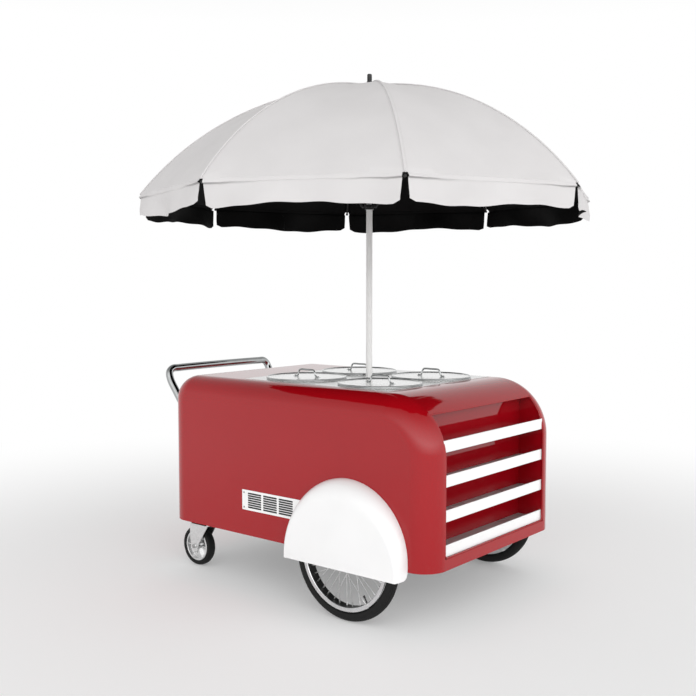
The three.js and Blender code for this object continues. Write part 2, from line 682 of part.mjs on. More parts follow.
function makeCanopy() {
  const sides = 32;
  const outer = canopySurface(0, 6, sides);
  const inner = canopySurface(parasol.skin, 6, sides);
  const hem = (rows, inset) => rows[rows.length - 1].map(([x, y, z]) => {
    const scale = 1 - inset / parasol.radius;
    return [x * scale, y * scale, z - parasol.valance];
  });
  const rings = [...outer, hem(outer, 0), hem(outer, parasol.skin), ...inner.reverse()];
  const positions = rings.flat(2);
  const index = [];
  for (let r = 0; r < rings.length; r += 1) {
    const next = (r + 1) % rings.length;
    for (let i = 0; i < sides; i += 1) {
      const k = (i + 1) % sides;
      index.push(r * sides + i, next * sides + i, r * sides + k);
      index.push(r * sides + k, next * sides + i, next * sides + k);
    }
  }
  addPiece("canopy", toGeometry(indexedSolid(positions, index)), look.fabric);
}

makeBody();
makeShelves();
makeWorktop();
makeLids();
makeGrille();
makeHandle();
makeFenders();
makeWheels();
makeCondensingUnit();
makeCasters();
makeMast();
makeRibs();
makeCanopy();

export default cart;
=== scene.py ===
import math

import bmesh
import bpy
from mathutils import Matrix, Vector


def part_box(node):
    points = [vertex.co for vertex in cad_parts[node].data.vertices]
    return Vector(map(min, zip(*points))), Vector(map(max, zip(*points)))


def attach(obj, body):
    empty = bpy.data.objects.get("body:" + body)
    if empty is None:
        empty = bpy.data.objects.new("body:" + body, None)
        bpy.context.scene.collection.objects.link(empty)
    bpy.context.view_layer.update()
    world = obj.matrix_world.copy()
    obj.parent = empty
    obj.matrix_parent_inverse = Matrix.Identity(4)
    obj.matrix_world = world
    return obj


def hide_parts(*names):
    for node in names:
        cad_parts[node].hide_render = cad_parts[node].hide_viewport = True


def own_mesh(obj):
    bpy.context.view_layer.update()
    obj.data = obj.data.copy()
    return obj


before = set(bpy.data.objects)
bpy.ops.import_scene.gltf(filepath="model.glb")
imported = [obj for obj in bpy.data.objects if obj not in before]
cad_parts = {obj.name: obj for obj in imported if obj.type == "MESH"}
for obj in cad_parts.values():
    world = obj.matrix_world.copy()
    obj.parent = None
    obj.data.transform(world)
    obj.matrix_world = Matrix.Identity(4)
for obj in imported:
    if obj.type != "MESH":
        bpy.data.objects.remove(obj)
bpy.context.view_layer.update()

# ---------- shared sizes, in metres ----------
EDGE, REAR_ARC, FRONT_ARC = 0.100, 0.110, 0.245  # roundings of the body
OPENING_HALF, OPENING_LOW, OPENING_HIGH = 0.389, 0.281, 0.833
WALL = 0.004
FIT = 0.0003  # the room left between two pieces that meet
RIB_COUNT = 8
SECTOR = 2 * math.pi / RIB_COUNT
DOME_RADIUS, DOME_CENTRE = 1.287, 0.908  # the arc that every rib follows
WHEEL_SIDES = (("right", -1), ("left", 1))

body_low, body_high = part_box("body_shell")
PARASOL_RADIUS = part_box("canopy")[1].x
STEEPEST = math.asin(PARASOL_RADIUS / DOME_RADIUS)  # slope of the dome at the hem
HEM = STEEPEST * DOME_RADIUS  # from the apex to the hem, along the cloth
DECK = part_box("worktop")[1].z


# ---------- camera, light and floor ----------
def make_camera():
    camera = bpy.data.objects.new("camera", bpy.data.cameras.new("camera"))
    bpy.context.scene.collection.objects.link(camera)
    camera.location = (2.66812, -3.42198, 1.34184)
    camera.rotation_euler = (math.radians(86.005), 0, math.radians(39.199))
    camera.data.lens = 50
    camera.data.sensor_width = 36
    bpy.context.scene.camera = camera


def make_world():
    """White surroundings: brighter all along the front right, weaker overhead."""
    world = bpy.data.worlds.new("studio")
    bpy.context.scene.world = world
    world.use_nodes = True
    tree = world.node_tree
    toward = add_node(tree, "TexCoord", {}, "Generated")
    front_right = (0.83, -0.56, 0.0)
    aside = add_node(tree, "VectorMath", {0: toward, 1: front_right}, "Value", operation="DOT_PRODUCT")
    height = add_node(tree, "SeparateXYZ", {"Vector": toward}, "Z")
    front = map_range(tree, aside, (0.0, 1.0), (0.0, 2.0))
    risen = map_range(tree, height, (0.0, 0.3), (0.0, 1.0))
    overhead = map_range(tree, height, (0.25, 0.9), (1.0, 0.35))
    brighter = calculate(tree, "ADD", calculate(tree, "MULTIPLY", front, risen), 1.0)
    background = tree.nodes["Background"].inputs
    background["Color"].default_value = (1, 1, 1, 1)
    tree.links.new(calculate(tree, "MULTIPLY", brighter, overhead), background["Strength"])
    bpy.context.scene.view_settings.view_transform = "Standard"


def make_floor():
    """A pale floor that fades into the white background away from the object."""
    radius, sides = 40.0, 64
    look["floor"] = floor_material()
    ring = [(x, y, 0.0) for x, y in circle(radius, sides)]
    add_mesh("floor", (ring, [range(sides)]), "floor")


def floor_material():
    material, tree = blank_material("studio_floor")
    matt = add_node(tree, "BsdfDiffuse", {"Color": (0.97, 0.97, 0.97, 1)})
    glow = add_node(tree, "Emission", {"Strength": 1.0})
    place = add_node(tree, "TexCoord", {}, "Object")
    distance = add_node(tree, "VectorMath", {0: place}, "Value", operation="LENGTH")
    fade = map_range(tree, distance, (1.6, 4.5), (0.18, 1.0), interpolation_type="SMOOTHSTEP")
    show(tree, add_node(tree, "MixShader", {0: fade, 1: matt, 2: glow}))
    return material


# ---------- shader nodes ----------
def blank_material(name):
    material = bpy.data.materials.new(name)
    material.use_nodes = True
    material.node_tree.nodes.clear()
    return material, material.node_tree


def add_node(tree, kind, inputs, output=0, **settings):
    """Adds a node and returns one of its outputs. Each input is a value or another node's output."""
    node = tree.nodes.new(f"ShaderNode{kind}")
    for name, value in settings.items():
        setattr(node, name, value)
    for name, value in inputs.items():
        if isinstance(value, bpy.types.NodeSocket):
            tree.links.new(value, node.inputs[name])
        else:
            node.inputs[name].default_value = value
    return node.outputs[output]


def show(tree, shader):
    tree.links.new(shader, tree.nodes.new("ShaderNodeOutputMaterial").inputs["Surface"])


def map_range(tree, value, source, target, **settings):
    inputs = {"Value": value, "From Min": source[0], "From Max": source[1],
              "To Min": target[0], "To Max": target[1]}
    return add_node(tree, "MapRange", inputs, "Result", **settings)


def calculate(tree, operation, first, second=0.0):
    return add_node(tree, "Math", {0: first, 1: second}, "Value", operation=operation)


def colour_drift(tree, value, dark, light):
    """Dark where the value is low, light where it is high."""
    ramp = tree.nodes.new("ShaderNodeValToRGB")
    for stop, position, colour in zip(ramp.color_ramp.elements, (0.3, 0.7), (dark, light)):
        stop.position = position
        stop.color = (*colour, 1)
    tree.links.new(value, ramp.inputs["Fac"])
    return ramp.outputs["Color"]


def mix_colour(tree, share, under, over):
    inputs = {"Factor": share, "A": under, "B": (*over, 1)}
    return add_node(tree, "Mix", inputs, "Result", data_type="RGBA")


# ---------- materials ----------
def surface_material(name, dark, light, rough, scale, bump, bump_scale, metallic=0.0, coat=0.0, ior=1.5,
                     stretch=(1, 1, 1), bump_depth=0.0004):
    """A finish whose colour and roughness drift slightly over the surface, with a fine relief."""
    material, tree = blank_material(name)
    place = add_node(tree, "TexCoord", {}, "Object")
    place = add_node(tree, "Mapping", {"Vector": place, "Scale": stretch})
    drift = add_node(tree, "TexNoise", {"Vector": place, "Scale": scale, "Detail": 4}, "Fac")
    grain = add_node(tree, "TexNoise", {"Vector": place, "Scale": bump_scale, "Detail": 2}, "Fac")
    relief = {"Height": grain, "Strength": bump, "Distance": bump_depth}
    show(tree, add_node(tree, "BsdfPrincipled", {
        "Base Color": colour_drift(tree, drift, dark, light),
        "Roughness": map_range(tree, drift, (0.0, 1.0), rough),
        "Normal": add_node(tree, "Bump", relief, "Normal"),
        "Metallic": metallic, "IOR": ior, "Coat Weight": coat}))
    return material


def cloth_material(name, dark, light, rough, seam_shade, bump):
    """Plain weave drawn in the cloth's own coordinates, with a row of stitches on each side of the seam and a
    painted shadow along the fold below the hem.
    """
    material, tree = blank_material(name)
    cloth = add_node(tree, "UVMap", {}, "UV", uv_map="cloth")
    weave = {"Vector": cloth, "Scale": 1.0, "Brick Width": 0.0016, "Row Height": 0.0008,
             "Mortar Size": 0.00012, "Color1": (1, 1, 1, 1), "Color2": (0.8, 0.8, 0.8, 1),
             "Mortar": (0.2, 0.2, 0.2, 1)}
    weave = add_node(tree, "TexBrick", weave, "Color", offset=0.5)
    place = add_node(tree, "TexCoord", {}, "Object")
    drift = add_node(tree, "TexNoise", {"Vector": place, "Scale": 5.0, "Detail": 5}, "Fac")
    colour = colour_drift(tree, drift, dark, light)
    aside = calculate(tree, "ABSOLUTE", add_node(tree, "SeparateXYZ", {0: cloth}, "X"))
    down = add_node(tree, "SeparateXYZ", {0: cloth}, "Y")
    colour = mix_colour(tree, stitch_mask(tree, aside, down), colour, seam_shade)
    # painted shadow: the cloth colour darkened along the fold below the hem
    colour = mix_colour(tree, painted_fold_shadow_mask(tree, cloth, aside, down), colour, [0.45 * c for c in dark])
    relief = {"Height": weave, "Strength": bump, "Distance": 0.0003}
    show(tree, add_node(tree, "BsdfPrincipled", {
        "Base Color": colour, "Roughness": rough, "Specular IOR Level": 0.1,
        "Normal": add_node(tree, "Bump", relief, "Normal")}))
    return material


def stitch_mask(tree, aside, down):
    """A half on the stitches, which run 9 mm to each side of the seam, and 0 elsewhere."""
    from_seam, half_width, pitch, gap = 0.009, 0.0006, 0.004, -0.4
    near = calculate(tree, "ABSOLUTE", calculate(tree, "SUBTRACT", aside, from_seam))
    on_line = calculate(tree, "LESS_THAN", near, half_width)
    beat = calculate(tree, "SINE", calculate(tree, "MULTIPLY", down, 2 * math.pi / pitch))
    on_stitch = calculate(tree, "GREATER_THAN", beat, gap)
    return calculate(tree, "MULTIPLY", calculate(tree, "MULTIPLY", on_line, on_stitch), 0.5)


def painted_fold_shadow_mask(tree, cloth, aside, down):
    """Painted shadow for the fold 20 mm below the hem: dark by the slits, fading towards a flap's middle."""
    drift = add_node(tree, "TexNoise", {"Vector": cloth, "Scale": 9.0}, "Fac")
    wander = map_range(tree, drift, (0.3, 0.7), (-0.004, 0.004))
    below = calculate(tree, "ADD", calculate(tree, "SUBTRACT", down, HEM + 0.020), wander)
    line = map_range(tree, calculate(tree, "ABSOLUTE", below), (0.0, 0.006), (1.0, 0.0))
    strength = map_range(tree, aside, (0.02, 0.24), (0.85, 0.06))
    return calculate(tree, "MULTIPLY", line, strength)


def grey(value):
    return value, value, value


METAL = dict(metallic=1.0)
# finish: record slot, material name, dark and light colour, roughness range, size of the colour drift,
# strength and size of the relief (bigger is finer), and what else is special
FINISHES = {
    "red": ("red_paint", "red_gelcoat", (0.335, 0.002, 0.006), (0.350, 0.003, 0.007), (0.05, 0.08),
            3.0, 0.02, 14.0, dict(bump_depth=0.002)),
    "white": ("white_enamel", "white_enamel", grey(0.88), grey(0.91), (0.20, 0.28), 6.0, 0.05, 90.0,
              dict(coat=0.3)),
    "steel": ("stainless", "brushed_steel", grey(0.67), (0.71, 0.71, 0.70), (0.23, 0.26), 60.0, 0.004, 300.0,
              dict(metallic=1.0, stretch=(0.05, 1, 1))),
    "lid": ("stainless", "lid_steel", grey(0.86), (0.90, 0.90, 0.89), (0.23, 0.26), 90.0, 0.004, 200.0,
            METAL),
    "chrome": ("chrome", "chrome", (0.36, 0.37, 0.37), (0.42, 0.43, 0.43), (0.04, 0.09), 30.0, 0.01, 60.0,
               METAL),
    "zinc": ("zinc", "zinc_plate", grey(0.68), grey(0.79), (0.24, 0.36), 120.0, 0.06, 500.0, METAL),
    "rim": ("zinc", "polished_rim", (0.62, 0.62, 0.63), (0.72, 0.72, 0.73), (0.16, 0.26), 80.0, 0.02, 300.0,
            METAL),
    "rubber": ("tyre_rubber", "tyre_rubber", grey(0.003), grey(0.007), (0.55, 0.75), 50.0, 0.3, 900.0,
               dict(ior=1.35)),
    "black": ("frame_black", "black_frame", grey(0.010), grey(0.018), (0.35, 0.5), 50.0, 0.1, 600.0, {}),
    "chassis": ("chassis_paint", "chassis_black", grey(0.02), (0.04, 0.04, 0.042), (0.4, 0.6), 20.0, 0.2,
                400.0, {}),
    "mast": ("mast_white", "mast_lacquer", (0.85, 0.84, 0.83), (0.90, 0.89, 0.88), (0.25, 0.35), 20.0, 0.03,
             200.0, dict(coat=0.3)),
    "screw": ("zinc", "screw_steel", grey(0.3), grey(0.5), (0.25, 0.4), 200.0, 0.1, 900.0, METAL),
    "dark": ("chassis_paint", "vent_shadow", grey(0.015), grey(0.03), (0.5, 0.7), 60.0, 0.1, 500.0, {}),
    # shelf: a white enamel plate coloured grey as painted shade for the dark bays
    "shelf": ("white_enamel", "shelf_enamel", (0.30, 0.29, 0.29), (0.34, 0.33, 0.33), (0.25, 0.3), 6.0, 0.02,
              90.0, {}),
    "piping": ("canopy_cloth", "white_piping", (0.62, 0.605, 0.605), (0.66, 0.645, 0.645), (0.7, 0.85), 300.0,
               0.3, 1500.0, {}),
    "liner": ("red_paint", "red_liner", (0.325, 0.002, 0.007), (0.340, 0.003, 0.008), (0.03, 0.05), 3.0, 0.02,
              14.0, {}),
}


def make_materials():
    look = {finish: surface_material(*numbers, **special)
            for finish, (_, *numbers, special) in FINISHES.items()}
    look["cloth"] = cloth_material("canopy_outside", (0.63, 0.615, 0.615), (0.66, 0.645, 0.645), 0.85,
                                   (0.5, 0.49, 0.49), 0.25)
    look["lining"] = cloth_material("canopy_lining", grey(0.0015), grey(0.004), 0.7, grey(0.02), 0.2)
    return look


look = make_materials()


# ---------- mesh helpers ----------
def turns(count):
    return [2 * math.pi * i / count for i in range(count)]


def middle(node):
    low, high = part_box(node)
    return (low + high) / 2


def add_mesh(name, part, finishes, angle=35, slots=(), cloth=()):
    """Makes an object of (vertices, faces). finishes holds the names of its materials, slots the number
    of each face's material, and cloth each vertex's place on the flat cloth in metres."""
    verts, faces = part
    mesh = bpy.data.meshes.new(name)
    mesh.from_pydata([tuple(v) for v in verts], [], [tuple(f) for f in faces])
    for finish in finishes.split():
        mesh.materials.append(look[finish])
    if slots:
        mesh.polygons.foreach_set("material_index", slots)
    if cloth:
        layer = mesh.uv_layers.new(name="cloth")
        for loop in mesh.loops:
            layer.data[loop.index].uv = cloth[loop.vertex_index]
    piece = bpy.data.objects.new(name, mesh)
    bpy.context.scene.collection.objects.link(piece)
    rework(mesh, weld)
    shade(piece, angle)
    return piece


def rework(mesh, change):
    work = bmesh.new()
    work.from_mesh(mesh)
    change(work)
    work.to_mesh(mesh)
    work.free()


def weld(work):
    """Joins doubled vertices and turns every face outward."""
    bmesh.ops.remove_doubles(work, verts=work.verts, dist=1e-6)
    bmesh.ops.dissolve_degenerate(work, edges=work.edges, dist=1e-7)
    bmesh.ops.recalc_face_normals(work, faces=work.faces)


def shade(piece, angle):
    mesh = piece.data
    mesh.polygons.foreach_set("use_smooth", [True] * len(mesh.polygons))
    mesh.set_sharp_from_angle(angle=math.radians(angle))


def apply_modifier(piece, kind, **settings):
    """Replaces the mesh with what the modifier makes of it."""
    modifier = piece.modifiers.new(kind.lower(), kind)
    for name, value in settings.items():
        setattr(modifier, name, value)
    graph = bpy.context.evaluated_depsgraph_get()
    piece.data = bpy.data.meshes.new_from_object(piece.evaluated_get(graph), preserve_all_data_layers=True,
                                                 depsgraph=graph)
    piece.modifiers.clear()


def soften(piece, width):
    """Rounds the sharp edges and keeps flat faces looking flat."""
    apply_modifier(piece, "BEVEL", width=width, segments=2, limit_method="ANGLE",
                   angle_limit=math.radians(40))
    apply_modifier(piece, "WEIGHTED_NORMAL", keep_sharp=True)


def cut(piece, *cutters):
    """Takes the cutters out of the piece and removes them."""
    for cutter in cutters:
        apply_modifier(piece, "BOOLEAN", operation="DIFFERENCE", solver="EXACT", object=cutter)
        bpy.data.objects.remove(cutter)


class Shape:
    """Vertices and faces gathered for one piece, with a material number for each face."""

    def __init__(self, *parts):
        self.verts, self.faces, self.slots = [], [], []
        for part in parts:
            self.add(part)

    def add(self, part, slot=0, matrix=None):
        verts, faces = part
        start = len(self.verts)
        self.verts += [matrix @ Vector(v) if matrix else Vector(v) for v in verts]
        self.faces += [[i + start for i in face] for face in faces]
        self.slots += [slot] * len(faces)

    def moved(self, matrix):
        copy = Shape()
        copy.add((self.verts, self.faces), 0, matrix)
        copy.slots = self.slots
        return copy


def finish_piece(name, shape, finishes, body, *stands_for, angle=35, bevel=None):
    piece = add_mesh(name, (shape.verts, shape.faces), finishes, angle, shape.slots)
    if bevel:
        soften(piece, bevel)
    settle(piece, finishes, body, *stands_for)


def settle(piece, finishes, body, *stands_for):
    """Lets a piece ride on a body and stand for CAD nodes. Its finishes argument is not used."""
    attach(piece, body)
    if stands_for:
        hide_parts(*stands_for)


def box(x0, x1, y0, y1, z0, z1):
    verts = [(x, y, z) for x in (x0, x1) for y in (y0, y1) for z in (z0, z1)]
    faces = [(0, 1, 3, 2), (4, 6, 7, 5), (0, 4, 5, 1), (2, 3, 7, 6), (0, 2, 6, 4), (1, 5, 7, 3)]
    return verts, faces


def grid_faces(rows, columns, round_rows=False, round_columns=True):
    """The quads between rows of points; round ones also join the last to the first."""
    faces = []
    for i in range(rows if round_rows else rows - 1):
        for j in range(columns if round_columns else columns - 1):
            here, ahead = i * columns, (i + 1) % rows * columns
            k = (j + 1) % columns
            faces.append((here + j, here + k, ahead + k, ahead + j))
    return faces


def end_faces(rows, columns):
    return [range(columns), range((rows - 1) * columns, rows * columns)]


def turned(profile, sides, axis="Z"):
    """Turns (radius, offset) points about an axis. The profile closes on itself."""
    verts, count = [], len(profile)
    for angle in turns(sides):
        for r, h in profile:
            u, v = r * math.cos(angle), r * math.sin(angle)
            verts.append((u, v, h) if axis == "Z" else (u, h, v))
    faces = [face for face in grid_faces(sides, count, True)
             if profile[face[0] % count][0] or profile[face[1] % count][0]]
    return verts, faces


def swept(path, section, side=(0, 0, 1), closed=False):
    """Carries a closed section of (across, up) points along a path. side fixes the first across direction."""
    path = [Vector(p) for p in path]
    across = Vector(side)
    verts, count = [], len(path)
    for i, point in enumerate(path):
        before = path[i - 1] if i or closed else path[0]
        after = path[(i + 1) % count] if i + 1 < count or closed else path[-1]
        along = (after - before).normalized()
        across = (across - along * across.dot(along)).normalized()
        up = along.cross(across)
        verts += [point + across * u + up * v for u, v in section]
    faces = grid_faces(count, len(section), closed)
    return verts, faces if closed else faces + end_faces(count, len(section))


def circle(radius, sides):
    return [(radius * math.cos(a), radius * math.sin(a)) for a in turns(sides)]


def rod(path, radius, sides=12, side=(1, 0, 0)):
    return swept(path, circle(radius, sides), side)


def prism(outline, low, high, plane="XZ"):
    """Pushes an outline out between two offsets: along Y for XZ outlines, along Z for XY outlines."""
    verts = [(u, v, h) if plane == "XY" else (u, h, v) for h in sorted((low, high)) for u, v in outline]
    return verts, end_faces(2, len(outline)) + grid_faces(2, len(outline))


def rounded_outline(corners, radius, steps=6):
    """A closed outline whose corners are arcs that touch both sides."""
    result = []
    for i, corner in enumerate(corners):
        here = Vector(corner)
        before = (Vector(corners[i - 1]) - here).normalized()
        after = (Vector(corners[(i + 1) % len(corners)]) - here).normalized()
        half = math.acos(max(-1, min(1, before.dot(after)))) / 2
        reach = radius / math.tan(half)
        centre = here + (before + after).normalized() * (radius / math.sin(half))
        spoke = here + before * reach - centre
        sweep = spoke.angle_signed(here + after * reach - centre)
        for k in range(steps + 1):
            result.append(tuple(centre + Matrix.Rotation(-sweep * k / steps, 2) @ spoke))
    return result


def rounded_rectangle(x0, x1, y0, y1, radius, steps=6):
    return rounded_outline([(x0, y0), (x1, y0), (x1, y1), (x0, y1)], radius, steps)


def catmull_rom(points, steps):
    """A centripetal Catmull-Rom curve through the points."""
    points = [Vector(p) for p in points]
    points = [2 * points[0] - points[1], *points, 2 * points[-1] - points[-2]]
    result = []
    for p0, p1, p2, p3 in zip(points, points[1:], points[2:], points[3:]):
        t1 = (p1 - p0).length ** 0.5
        t2 = t1 + (p2 - p1).length ** 0.5
        t3 = t2 + (p3 - p2).length ** 0.5
        for k in range(steps):
            t = t1 + (t2 - t1) * k / steps
            a1 = p0.lerp(p1, t / t1)
            a2 = p1.lerp(p2, (t - t1) / (t2 - t1))
            a3 = p2.lerp(p3, (t - t2) / (t3 - t2))
            result.append(a1.lerp(a2, t / t2).lerp(a2.lerp(a3, (t - t1) / (t3 - t1)), (t - t1) / (t2 - t1)))
    return [*result, points[-2]]


def hex_nut(radius, height):
    return prism(circle(radius, 6), 0, height, "XY")


def screw_head(radius, height):
    """A domed head with a round socket, pointing up from the origin."""
    profile = [(0, 0), (radius, 0), (radius, height * 0.35), (radius * 0.8, height * 0.85),
               (radius * 0.45, height), (radius * 0.4, height * 0.5), (0, height * 0.5)]
    return turned(profile, 20)


def facing(direction, place):
    """A matrix that turns +Z to a direction and moves the origin to a place."""
    turn = Vector((0, 0, 1)).rotation_difference(Vector(direction)).to_matrix().to_4x4()
    return Matrix.Translation(Vector(place)) @ turn


# ---------- body ----------
def side_outline(inset, shrink, steps):
    """The side view of the body as (x, z), from the rear foot over the top to the front foot."""
    points = [(body_low.x + shrink + inset, body_low.z)]
    for centre, arc, start in ((body_low.x + REAR_ARC, REAR_ARC, math.pi),
                               (body_high.x - FRONT_ARC, FRONT_ARC, math.pi / 2)):
        radius = arc - shrink - inset
        for i in range(steps + 1):
            angle = start - math.pi / 2 * i / steps
            points.append((centre + radius * math.cos(angle), body_high.z - arc + radius * math.sin(angle)))
    return [*points, (body_high.x - shrink - inset, body_low.z)]


def rounded_body(shrink, steps, floor):
    """A closed solid: the side outline carried across, drawn in evenly towards each side."""
    radius = EDGE - shrink
    stations = []
    for i in range(steps + 1):
        angle = math.pi / 2 * (1 - i / steps)
        stations.append((body_high.y - EDGE + radius * math.sin(angle), radius * (1 - math.cos(angle))))
    stations = [(-y, inset) for y, inset in stations] + stations[::-1]
    rings = [[(x, y, floor if z == body_low.z else z) for x, z in side_outline(inset, shrink, steps)]
             for y, inset in stations]
    size = len(rings), len(rings[0])
    return [v for ring in rings for v in ring], end_faces(*size) + grid_faces(*size)


def body_normal(point):
    """The outward direction of the body's rounded outside at a point on it."""
    rear, front = body_low.x + REAR_ARC, body_high.x - FRONT_ARC
    if point.x < rear and point.z > body_high.z - REAR_ARC:
        out = Vector((point.x - rear, 0, point.z - body_high.z + REAR_ARC))
        depth = REAR_ARC - out.length
    elif point.x > front and point.z > body_high.z - FRONT_ARC:
        out = Vector((point.x - front, 0, point.z - body_high.z + FRONT_ARC))
        depth = FRONT_ARC - out.length
    else:
        walls = ((point.x - body_low.x, (-1, 0, 0)), (body_high.x - point.x, (1, 0, 0)),
                 (body_high.z - point.z, (0, 0, 1)))
        depth, out = min(walls, key=lambda wall: wall[0])
    out = Vector(out).normalized()
    aside = abs(point.y) - (body_high.y - EDGE)
    if aside <= 1e-7:
        return out
    return (out * max(0.0, EDGE - depth) + Vector((0, math.copysign(aside, point.y), 0))).normalized()


def true_normals(piece):
    """Gives the outside of the shell its exact curved normals, and every cut face its own flat one."""
    mesh = piece.data
    normals = []
    for face in mesh.polygons:
        outside = face.normal.dot(body_normal(face.center)) > 0.97
        for index in face.vertices:
            normals.append(body_normal(mesh.vertices[index].co) if outside else face.normal)
    mesh.normals_split_custom_set([tuple(n) for n in normals])


def make_shell():
    shell = add_mesh("shell", rounded_body(0, 28, body_low.z), "red")
    hollow = add_mesh("hollow", rounded_body(WALL, 12, body_low.z - 0.02), "red")
    opening = (0.519, 0.75, -OPENING_HALF, OPENING_HALF, OPENING_LOW, OPENING_HIGH)
    low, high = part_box("worktop")
    well = (low.x - FIT, high.x + FIT, low.y - FIT, high.y + FIT, body_high.z - 0.02, body_high.z + 0.02)
    cut(shell, hollow, add_mesh("bay", box(*opening), "red"), add_mesh("well", box(*well), "red"))
    low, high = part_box("vent_grille_right")
    wheel, slot_half, through = middle("tyre_right"), 0.013, 0.015
    for side in (-1, 1):
        across = side * body_high.y - through, side * body_high.y + through
        slot = (wheel.x - slot_half, wheel.x + slot_half, *across, body_low.z - 0.01, wheel.z + slot_half)
        vent = (low.x + 0.03, high.x - 0.05, *across, low.z + 0.008, high.z - 0.008)
        cut(shell, add_mesh("slot", box(*slot), "red"), add_mesh("vent", box(*vent), "red"))
    true_normals(shell)
    settle(shell, "red", "cart", "body_shell")


def opening_contour(inset, steps=20):
    """The closed edge of the display opening: up one side, over the front arc, across and back down."""
    radius, corner = FRONT_ARC - inset, 0.010
    centre_x, centre_z = body_high.x - FRONT_ARC, body_high.z - FRONT_ARC
    top = math.asin((OPENING_HIGH - inset - centre_z) / radius)
    low = OPENING_LOW + inset
    side = OPENING_HALF - inset
    front = body_high.x - inset
    rise = [(front, low + corner + (centre_z - low - corner) * i / 6) for i in range(6)]
    rise += [(centre_x + radius * math.cos(top * i / steps), centre_z + radius * math.sin(top * i / steps))
             for i in range(steps + 1)]
    high_x, high_z = rise[-1]
    across = [(high_x, y, high_z) for y in (0.012 - side, 0.0, side - 0.012)]
    back = [(front, y, low) for y in (side - corner, 0.0, corner - side)]
    return [*[(x, -side, z) for x, z in rise], *across, *[(x, side, z) for x, z in reversed(rise)], *back]


def make_opening_edge():
    """The rolled edge round the display opening."""
    thick = 0.0032
    shape = Shape(swept(opening_contour(thick), circle(thick, 10), side=(0, 1, 0), closed=True))
    finish_piece("opening_edge", shape, "red", "cart", angle=60)


def make_shelves():
    """Each shelf is a white enamel plate, coloured grey as painted shade, between the back wall and the lower
    part of a tall white lip.
    """
    plate, rise, lip = 0.008, 0.006, 0.006
    for i in range(1, 5):
        low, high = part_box(f"shelf_{i}")
        shape = Shape(box(low.x, high.x - lip, low.y, high.y, low.z + rise, low.z + rise + plate))
        finish_piece(f"shelf_plate_{i}", shape, "shelf", "cart", bevel=0.0006)
        shape = Shape(box(high.x - lip, high.x, low.y, high.y, low.z, high.z))
        finish_piece(f"display_shelf_{i}", shape, "white", "cart", f"shelf_{i}", bevel=0.0016)


# ---------- worktop, wells and lids ----------
def well_places():
    return [Matrix.Translation((*middle(f"tub_{i}").xy, 0)) for i in range(1, 5)]


def make_worktop():
    low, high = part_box("worktop")
    outline = rounded_rectangle(low.x, high.x, low.y, high.y, 0.006)
    plate = add_mesh("worktop_sheet", prism(outline, low.z, high.z, "XY"), "steel")
    for place, radius, sides in (*[(place, 0.164, 96) for place in well_places()], (Matrix(), 0.022, 48)):
        hole = Shape(turned([(0, 0.8), (radius, 0.8), (radius, 1.0), (0, 1.0)], sides)).moved(place)
        cut(plate, add_mesh("hole", (hole.verts, hole.faces), "steel"))
    shade(plate, 35)
    soften(plate, 0.0012)
    settle(plate, "steel", "cart", "worktop")


def make_tubs():
    inner, thick = 0.153, 0.002
    for i, place in enumerate(well_places(), 1):
        low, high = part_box(f"tub_{i}")
        flange = (high.x - low.x) / 2
        profile = [(0, low.z), (inner - 0.012, low.z), (inner - 0.004, low.z + 0.004), (inner, low.z + 0.012),
                   (inner, high.z - 0.003), (flange - 0.001, high.z - 0.003), (flange, high.z - 0.0015),
                   (flange - 0.001, high.z), (inner - 0.001, high.z), (inner - thick, high.z - 0.002),
                   (inner - thick, low.z + 0.014), (inner - 0.014, low.z + 0.003), (0, low.z + 0.003)]
        shape = Shape(turned(profile, 72)).moved(place)
        finish_piece(f"ice_cream_tub_{i}", shape, "steel", "cart", f"tub_{i}", angle=50)


def lid_profile(low):
    """A pressed lid: a plug that reaches into the well and a rounded outer bead."""
    radius, plug, depth = 0.180, 0.145, 0.016
    return [(0, low), (plug - 0.004, low), (plug - 0.004, low - depth), (plug, low - depth + 0.002),
            (plug, low), (radius - 0.004, low), (radius - 0.003, low + 0.005), (radius - 0.008, low + 0.0064),
            (radius - 0.014, low + 0.0054), (radius - 0.020, low + 0.0050), (0, low + 0.0050)]


def wire_handle(base):
    """A bent wire whose two feet lie flat on the lid."""
    reach, top, height, foot = 0.054, 0.041, 0.030, 0.016
    half = [(reach + foot, 0), (reach + 0.004, 0), (reach - 0.002, 0.006), (top + 0.006, height - 0.010),
            (top, height - 0.002), (top - 0.008, height), (0, height)]
    points = [(-x, 0, base + z) for x, z in half] + [(x, 0, base + z) for x, z in half[-2::-1]]
    return rod(catmull_rom(points, 6), 0.004, side=(0, 1, 0))


def make_lids():
    low, bead, edge, foot = DECK + FIT, 0.0042, 0.1762, 0.064
    lid = Shape(turned(lid_profile(low), 96))
    lid.add(turned([(edge + r, low + 0.0052 + h) for r, h in circle(bead, 12)], 96), 1)
    lid.add(wire_handle(low + 0.0074), 1)
    pad = prism(rounded_rectangle(-0.013, 0.013, -0.008, 0.008, 0.004, 4), 0, 0.0016, "XY")
    for x in (-foot, foot):
        lid.add(pad, 1, Matrix.Translation((x, 0, low + bead)))
    for i, place in enumerate(well_places(), 1):
        finish_piece(f"well_lid_{i}", lid.moved(place), "lid chrome", f"lid_unit_{i}", f"lid_{i}", angle=30)


